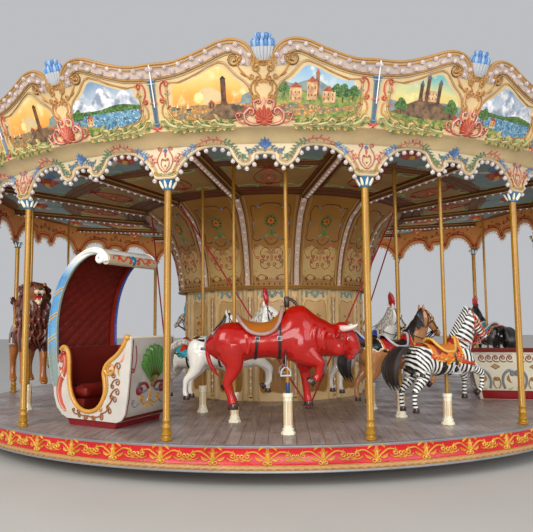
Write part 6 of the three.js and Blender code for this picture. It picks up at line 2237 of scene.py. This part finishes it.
def make_lining(place, inner):
    """Quilted upholstery inside the hood, in diamonds."""
    line = inner[4:56]
    along = np.gradient(line, axis=0)
    along /= np.linalg.norm(along, axis=1)[:, None]
    normal = np.column_stack([along[:, 1], -along[:, 0]])
    walked = lengths_along(line)
    steps, reach = np.arange(0, walked[-1], 0.012), chariot_half - 0.036
    ys = np.linspace(-reach, reach, 73)
    pitch = 0.15

    def relief(s, y):
        a, b = (s + y) / pitch * math.pi, (s - y) / pitch * math.pi
        return 0.004 + 0.013 * (abs(math.sin(a)) * abs(math.sin(b))) ** 0.4

    def spot(s, y, lift):
        at, out = [np.array([np.interp(s, walked, line_[:, k]) for k in (0, 1)]) for line_ in (line, normal)]
        return at[0] + out[0] * lift, y, at[1] + out[1] * lift

    form = Form().grid(np.array([[spot(s, y, relief(s, y) if 0 < j < len(ys) - 1 else 0.0) for j, y in enumerate(ys)]
                                 for s in steps]), "quilted")
    for i in range(1, int(walked[-1] / (pitch / 2))):
        for j in range(-6, 7):
            s, y = i * pitch / 2, j * pitch / 2
            if (i + j) % 2 == 0 and abs(y) < reach - 0.02:
                form.ball(spot(s, y, 0.006), 0.007, "quilted", 5, 8)
    piece("hood_lining", thinned(form.mapped(place), share=0.6), angle=60)


def puffed(form):
    """Air pressure swells the cover of a pad as cloth, by no more than the cap."""
    scene, cap = bpy.context.scene, 0.016
    pad, _ = object_of("pad", form)
    voxels(pad, 0.017)
    pad.data = bpy.data.meshes.new_from_object(pad.evaluated_get(bpy.context.evaluated_depsgraph_get()))
    pad.modifiers.clear()
    start, faces = corners_of(pad.data), faces_of(pad.data)
    shift = np.zeros_like(start)
    cover = pad.modifiers.new("cover", "CLOTH")
    cover.settings.use_pressure = True
    cover.settings.uniform_pressure_force = 4
    cover.settings.effector_weights.gravity = 0
    for frame in range(1, 21):
        scene.frame_set(frame)
    swollen = pad.evaluated_get(bpy.context.evaluated_depsgraph_get()).to_mesh()
    shift = corners_of(swollen) - start
    scene.frame_set(1)
    size = np.linalg.norm(shift, axis=1)[:, None]
    shift *= np.minimum(1, cap / np.maximum(size, 1e-9))
    bpy.data.objects.remove(pad)
    return thinned(Form().add(start + shift, faces, "tufted"), share=0.6)


def make_cushion(name, low, high, place, replaced):
    """A seat pad: a rounded block swollen by cloth simulation, then drawn in at its buttons."""
    low, high, swell = np.array(low), np.array(high), 0.012
    middle, size = (low + high) / 2, (high - low) / 2

    def power(v, e):
        return math.copysign(abs(v) ** e, v)

    rows = []
    for a in np.linspace(-math.pi / 2, math.pi / 2, 33):
        rows.append([(power(math.cos(a), 0.22) * power(math.cos(b), 0.2),
                      power(math.cos(a), 0.22) * power(math.sin(b), 0.2),
                      power(math.sin(a), 0.5)) for b in np.arange(64) * math.pi / 32])
    points = np.array(rows)
    crown = 0.86 + 0.14 * (1 - points[..., 0] ** 2) * (1 - points[..., 1] ** 4)
    points[..., 2] = np.where(points[..., 2] > 0, points[..., 2] * crown, points[..., 2])
    form = puffed(Form().grid(points * (size - swell) + middle, "tufted", loop_cols=True))
    corners = np.clip(form.corners(), low, high)
    deep, wide = 2, 4
    spots = [middle[:2] + size[:2] * [(i + 0.5) / deep * 2 - 1, (j + 0.5) / wide * 2 - 1]
             for i in range(deep) for j in range(wide)]
    for spot in spots:
        near = np.exp(-((corners[:, 0] - spot[0]) ** 2 + (corners[:, 1] - spot[1]) ** 2) / 0.0016)
        corners[:, 2] -= np.where(corners[:, 2] > middle[2], near * 0.024, 0)
    form.parts = [corners]
    for spot in spots:
        top = corners[np.argmin(np.linalg.norm(corners[:, :2] - spot, axis=1) - 10 * (corners[:, 2] > middle[2]))]
        form.ball([spot[0], spot[1], top[2] + 0.002], [0.012, 0.012, 0.006], "tufted", 5, 8)
    made = piece(name, form.mapped(place), replaces=[replaced], angle=60)
    made.modifiers.new("smooth", "SUBSURF").levels = 1
    made.modifiers["smooth"].render_levels = 1


def make_tub(place):
    half, form = chariot_half, Form()
    lip = smooth([(0.62, 1.03), (0.56, 0.93), (0.47, 0.84), (0.37, 0.775), (0.3, 0.715), (0.268, 0.63), (0.285, 0.54),
                  (0.295, 0.45), (0.28, 0.37), (0.23, 0.28), (0.15, 0.21), (0.05, 0.18), (-0.06, 0.185), (-0.16, 0.23),
                  (-0.24, 0.31), (-0.29, 0.41), (-0.315, 0.53), (-0.32, 0.66), (-0.325, 0.77), (-0.345, 0.86),
                  (-0.385, 0.915), (-0.43, 0.925), (-0.47, 0.895)], 4)
    back = [(-0.5, 0.8), (-0.535, 0.66), (-0.6, 0.444), (-0.585, 0.33), (-0.53, 0.2), (-0.44, 0.12), (-0.34, 0.08)]
    front = [(0.48, 0.08), (0.56, 0.115), (0.605, 0.18), (0.64, 0.36), (0.66, 0.55), (0.685, 0.8), (0.7, 1.02),
             (0.67, 1.045)]
    plain = smooth([(0.62, 1.035), (0.53, 0.9), (0.44, 0.8), (0.28, 0.7), (0.0, 0.665), (-0.34, 0.66), (-0.4, 0.9),
                    (-0.47, 0.92)], 3)
    # Each wall has a painted outside and a lined inside
    for edge, side in ((lip, -1), (plain, 1)):
        outline = np.vstack([edge, back, front])
        slab(form, outline, side * half, side * (half - 0.026), "hull_white")
        slab(form, outline, side * (half - 0.026), side * (half - 0.045), "lining_side")
    zs = np.linspace(0.08, 1.03, 14)
    dash = [(float(shell_dash_x(z)), z) for z in zs]
    rear = [(-0.5, 0.92), (-0.53, 0.66), (-0.59, 0.444), (-0.575, 0.33), (-0.52, 0.2), (-0.43, 0.12)]
    for wall, inside, thick, outside in ((dash, -1, 0.04, "dash_grey"), (rear, 1, 0.05, "hull_white")):
        halfway, full = [[(x + inside * t, z) for x, z in wall] for t in (thick / 2, thick)]
        slab(form, wall + halfway[::-1], -half + 0.03, half - 0.03, outside)
        slab(form, halfway + full[::-1], -half + 0.04, half - 0.04, "lining")
    slab(form, [(-0.45, 0.1), (0.56, 0.1), (0.56, 0.15), (-0.45, 0.15)], -half + 0.03, half - 0.03, "lining")
    slab(form, [(-0.33, 0.001), (0.42, 0.001), (0.46, 0.085), (-0.38, 0.085)], -half + 0.03, half - 0.03, "base_red")
    slab(form, [(-0.4, 0.15), (-0.12, 0.15), (-0.1, 0.305), (-0.42, 0.305)], -half + 0.046, half - 0.046, "lining")
    # Gold edge round the way in, with the volute; the coral arm beside it
    form.tube(beside(lip, -half - 0.004), 0.026, "edge_gold", 10)
    form.tube(beside(plain, half), 0.018, "edge_gold", 8)
    form.ball([0.63, -half, 1.045], [0.045, 0.04, 0.035], "edge_gold", 8, 12)
    form.tube([(0.68, y, 1.04) for y in np.linspace(-half, half, 5)], 0.014, "cream", 10)
    art = Form()
    art.stroke(curl((0.3, 0.7), -1.9, 0.075, 1, 1.5, 26), np.linspace(0.04, 0.016, 26), "edge_gold", 0.03, 5)
    art.scroll([(0.3, 0.66), (0.33, 0.55), (0.33, 0.44), (0.28, 0.33), (0.2, 0.24)], None, (0.03, 1), 0.022, "gold",
               0.02, 5)
    arm = flourish([(-0.37, 0.17), (-0.45, 0.26), (-0.49, 0.38), (-0.475, 0.5), (-0.425, 0.6), (-0.39, 0.7),
                    (-0.385, 0.79)],
                   None, (0.055, 1), 5, 1.2)
    width = sizes_along(arm, [0, 0.15, 0.5, 0.75, 1], [0.03, 0.075, 0.095, 0.06, 0.02])
    art.stroke(arm, width, "coral", 0.03, 5)
    # A pink stripe along one side of the arm: a painted highlight
    art.stroke(arm[:-12] + [0.012, 0], width[:-12] * 0.3, "pink", 0.036)
    art.leaf((-0.47, 0.56), (-0.5, 0.69), 0.05, "coral", 0.25, 0.03)
    art.leaf((-0.4, 0.66), (-0.43, 0.58), 0.03, "cream", 0.2, 0.045)
    art.leaf((-0.38, 0.64), (-0.4, 0.54), 0.024, "cream", 0.2, 0.045)
    art.ball([-0.415, 0.845, 0.016], [0.036, 0.036, 0.024], "crimson", 7, 10)
    for points, size, hand in (
        ([(0.4, 0.62), (0.43, 0.68), (0.46, 0.74)], 0.034, -1), ([(0.39, 0.5), (0.43, 0.55), (0.48, 0.57)], 0.03, -1),
        ([(0.38, 0.38), (0.42, 0.43), (0.47, 0.46)], 0.03, -1), ([(0.33, 0.26), (0.38, 0.3), (0.42, 0.36)], 0.028, -1),
        ([(0.24, 0.17), (0.3, 0.19), (0.35, 0.23)], 0.026, -1),
        ([(0.12, 0.12), (0.18, 0.125), (0.23, 0.15)], 0.024, -1),
        ([(0.0, 0.13), (0.06, 0.12), (0.1, 0.13)], 0.022, -1), ([(-0.24, 0.17), (-0.2, 0.14), (-0.14, 0.14)], 0.022, 1),
        ([(-0.12, 0.14), (-0.07, 0.125), (-0.03, 0.13)], 0.022, -1),
    ):
        art.scroll(points, (size * 0.9, -hand), (size * 1.25, hand), 0.018, "curl_brown", 0.014, 5)
    art.leaf((0.5, 0.75), (0.58, 0.9), 0.04, "pink", 0.2)
    art.leaf((0.53, 0.72), (0.52, 0.6), 0.03, "gold", 0.2)
    form.join(art.mapped(upright(-half - 0.001)))
    # Dashboard: a ribbed scallop shell over curls
    ribs, rows = 9, []
    for t in np.linspace(0.0, 1.0, 18):
        row = []
        for s in np.linspace(-1, 1, ribs * 8 + 1):
            swell = abs(math.sin(math.pi * ribs * (s + 1) / 2)) ** 0.6
            reach = (0.455 - 0.15 * s * s + 0.03 * swell) * t
            lean = math.radians(48) * s
            edge = 0.0 if abs(s) == 1 or t == 1 else 1.0
            row.append((0.02 + reach * math.sin(lean), 0.475 + reach * math.cos(lean),
                        edge * (0.012 + 0.03 * math.sin(math.pi * min(t, 0.9) * 0.6) + 0.028 * swell * t ** 0.5)))
        rows.append(row)
    dash_art = Form().grid(np.array(rows)[:8], "shell_olive").grid(np.array(rows)[7:], "shell_green")
    # Dark green lines in the grooves between the ribs: painted shade
    for k in range(1, ribs):
        s = 2 * k / ribs - 1
        lean, reach = math.radians(48) * s, 0.44 - 0.15 * s * s
        dash_art.stroke([(0.02 + r * math.sin(lean), 0.475 + r * math.cos(lean)) for r in np.linspace(0.12, reach, 5)],
                        0.014, "shell_dark", 0.05)
    dash_art.ball([0.02, 0.49, 0.012], [0.034, 0.04, 0.026], "shell_olive", 7, 10)
    for side in (-1, 1):
        for points, last, wide, name, lift in (
            ([(side * 0.05, 0.44), (side * 0.12, 0.5), (side * 0.23, 0.5)], (0.065, -side), 0.04, "crimson", 0.022),
            ([(side * 0.08, 0.42), (side * 0.17, 0.4), (side * 0.26, 0.44)], (0.045, side), 0.03, "post_blue", 0.018),
            ([(0.0, 0.3), (side * 0.1, 0.26), (side * 0.18, 0.3)], (0.035, side), 0.022, "edge_gold", 0.016),
            ([(side * 0.2, 0.28), (side * 0.28, 0.24), (side * 0.34, 0.28)], (0.03, side), 0.016, "arch_grey", 0.012),
            ([(side * 0.36, 0.95), (side * 0.33, 0.8), (side * 0.36, 0.66)], (0.03, side), 0.014, "crimson", 0.01),
        ):
            dash_art.scroll(points, None, last, wide, name, lift, 5)
        dash_art.leaf((side * 0.03, 0.34), (side * 0.12, 0.2), 0.04, "edge_gold", side * 0.2)
    dash_art.leaf((0, 0.44), (0, 0.3), 0.06, "edge_gold", 0)
    form.join(dash_art.mapped(lambda p: np.column_stack([
        shell_dash_x(p[:, 1]) + p[:, 2], p[:, 0], p[:, 1]]), flip=True))
    piece("shell_tub", form.mapped(place), replaces=["chariot_tub"], angle=40)


def bench_x(z):
    return np.interp(z, [0.0, 0.14, 0.45, 0.71], [0.66, 0.69, 0.735, 0.74])


def make_bench_tub(place):
    """A tub whose four walls lean outwards, each with a lined inside, and one way in on its outer side."""
    form, top, floor, thick = Form(), bench_height, 0.14, 0.05
    levels = [0.001, 0.07, floor, 0.3, 0.45, 0.6, top]
    gate = (0.18, 0.56)

    def corner(z, sx, sy, inset):
        return sx * (bench_x(z) - inset), sy * (bench_side(z) - inset), z

    # Walls: outside, crown and lining
    for sx, sy in ((-1, 0), (1, 0), (0, 1)):
        ends = [(sx, -1), (sx, 1)] if sx else [(-1, sy), (1, sy)]
        for zs, inset, name in ((levels, 0.0, "bench_cream"), (levels[2:], thick, "lining_side")):
            form.grid(np.array([[corner(z, *end, inset) for end in ends] for z in zs]), name)
        form.grid(np.array([[corner(top, *end, inset) for end in ends] for inset in (0.0, thick)]), "bench_cream")
    for low, high in ((-1, gate[0]), (gate[1], 1)):
        def across(z, share, inset):
            x = share * (bench_x(z) - inset) if abs(share) == 1 else share
            return x, -(bench_side(z) - inset), z
        for zs, inset, name in ((levels, 0.0, "bench_cream"), (levels[2:], thick, "lining_side")):
            form.grid(np.array([[across(z, share, inset) for share in (low, high)] for z in zs]), name)
        form.grid(np.array([[across(top, share, inset) for share in (low, high)] for inset in (0.0, thick)]),
                  "bench_cream")
    for x in gate:
        form.grid(np.array([[(x, -(bench_side(z) - inset), z) for inset in (0.0, thick)] for z in levels[2:]]),
                  "edge_gold")
    form.grid(np.array([[(x, -(bench_side(z)), z) for x in gate] for z in levels[:3]]), "bench_cream")
    form.grid(np.array([[(x, -(bench_side(floor) - inset), floor) for x in gate] for inset in (0.0, thick)]),
              "edge_gold")
    inner_x, inner_y = bench_x(floor) - thick, bench_side(floor) - thick
    form.face(rectangle(-inner_x, -inner_y, 2 * inner_x, 2 * inner_y, floor), "lining")
    # Rail round the top
    rail, out_x, out_y = top + 0.001, bench_x(top) - 0.02, bench_half - 0.02
    form.tube([(gate[0], -out_y, rail), (-out_x, -out_y, rail), (-out_x, out_y, rail), (out_x, out_y, rail),
               (out_x, -out_y, rail), (gate[1], -out_y, rail)], 0.013, "rail_brown", 8)
    rear, side_panels = bench_panels(0.0, 1.18, 2), bench_panels(-0.28, 0.86, 1)
    for sign in (-1, 1):
        form.join(rear.mapped(lambda p: np.column_stack([
            sign * (bench_x(p[:, 1]) + p[:, 2]), p[:, 0] * bench_side(p[:, 1]) / bench_half, p[:, 1]])))
        form.join(side_panels.mapped(lambda p: np.column_stack([p[:, 0], sign * (bench_side(p[:, 1]) + p[:, 2]),
                                                                p[:, 1]])))
    piece("bench_sides", form.mapped(place), replaces=["bench_tub"], angle=35)


def bench_panels(centre, span, count):
    """Painted panels of a bench wall: a band of waves, a diamond and grey scrolls over a red foot."""
    art, wide = Form(), span / count
    waves = 5
    for k in range(count):
        mid = centre - span / 2 + (k + 0.5) * wide
        for i in range(waves):
            x = mid + (i - waves / 2 + 0.5) * wide * 0.88 / waves
            art.stroke(flourish([(x - 0.064, 0.578), (x - 0.03, 0.572), (x + 0.008, 0.585), (x + 0.026, 0.62),
                                 (x + 0.004, 0.66)],
                                None, (0.034, 1), 4, 1.3), 0.02, "wave_brown", 0.009, 5)
        art.stroke([(mid - wide * 0.47, 0.69), (mid + wide * 0.47, 0.69)], 0.01, "rail_brown", 0.005)
        diamond = [(mid - 0.07, 0.5), (mid, 0.462), (mid + 0.07, 0.5), (mid, 0.538)]
        art.patch(diamond, "ochre", 0.006)
        art.stroke(diamond + diamond[:1], 0.012, "line_red", 0.009)
        for hand in (-1, 1):
            arch = flourish([(mid + hand * 0.13, 0.17), (mid + hand * 0.1, 0.27), (mid + hand * 0.12, 0.37),
                             (mid + hand * 0.19, 0.44), (mid + hand * 0.265, 0.43)], None, (0.03, -hand))
            art.stroke(arch, 0.052, "arch_grey", 0.02, 5)
            # Lighter stripe along each grey arch: a painted highlight
            art.stroke(arch, 0.018, "arch_light", 0.028)
            art.scroll([(mid + hand * 0.02, 0.17), (mid + hand * 0.06, 0.23), (mid + hand * 0.045, 0.32)], None,
                       (0.03, hand), 0.024, "ochre", 0.014, 5)
            art.leaf((mid + hand * 0.19, 0.38), (mid + hand * 0.25, 0.25), 0.06, "ochre", hand * 0.2)
            art.leaf((mid + hand * 0.17, 0.16), (mid + hand * 0.27, 0.2), 0.04, "acanthus", hand * 0.2)
    low, high = centre - span / 2 - 0.02, centre + span / 2 + 0.02
    art.patch([(low, 0.003), (high, 0.003), (high, 0.14), (low, 0.14)], "base_red", 0.01)
    return art


def bench_side(z):
    return bench_half - bench_lean * (1 - z / bench_height)


def hood_paint(name):
    n = Nodes(name)
    height = n.make("ShaderNodeSeparateXYZ", {0: n.place}).outputs["Z"]
    cloud = n.cloud(3.0, 5.0)
    blue = n.mix(cloud, hue("#4C8FC4"), hue("#69A9D6"))
    low = n.mix(n.ranged(height, deck_top + 0.82, deck_top + 1.04), hue("#8A9A94"), blue)
    colour = n.mix(n.ranged(height, deck_top + 1.78, deck_top + 2.02), low, hue("#F2EFE8"))
    n.set(Base_Color=colour, Coat_Weight=0.4, Roughness=n.cloud(12.0, 4.0, 0.3, 0.7, 0.2, 0.36))
    n.bump(n.noise(40.0), 0.12, 0.004)
    return n.material


SPECIAL.update({
    "hood_blue": hood_paint, "hood_rim": gloss("#93A097", 0.3), "hull_white": gloss("#D2CCC2", 0.24, 0.1),
    "dash_grey": gloss("#B9B3A9", 0.3, 0.12), "base_red": gloss("#8E161C", 0.3),
    "edge_gold": gloss("#D99B3E", 0.24, 0.14),
    "tufted": gloss("#701812", 0.42, 0.2, coat=0.2), "quilted": gloss("#661409", 0.5, 0.2, coat=0.1),
    "lining": gloss("#6A180E", 0.5, 0.2, coat=0.1), "lining_side": gloss("#822212", 0.5, 0.2, coat=0.1),
    "shell_green": gloss("#4E8236", 0.26), "shell_olive": gloss("#7A7434", 0.26),
    "bench_cream": gloss("#E4DAC0", 0.28, 0.1), "rail_brown": gloss("#6E2218", 0.28),
    "arch_grey": gloss("#8D9096", 0.3),
    # The dark green paint here is painted shade in the grooves of the dash shell
    # The pale grey paint here is a painted highlight on the bench arches
    "arch_light": gloss("#C9CBCF", 0.26), "shell_dark": gloss("#24481E", 0.3),
})


def make_chariots():
    place = chariot_place(3.85, -30)
    make_hood(place)
    make_tub(place)
    make_cushion("chariot_pad", (-0.42, -0.395, 0.306), (-0.09, 0.395, 0.475), place, "chariot_seat")
    place = deck_place(3.9, 78, 0)
    make_bench_tub(place)
    make_cushion("bench_pad", (-0.64, -0.485, 0.145), (-0.29, 0.485, 0.43), place, "bench_seat")


make_camera()
make_studio()
dress_cad()
make_boards()
make_crest()
make_frames()
make_posts()
make_valance_art()
make_pictures()
make_outer_poles()
make_rim()
make_ceiling_art()
make_cove()
make_drum()
make_rods()
make_roof()
make_creatures()
make_chariots()
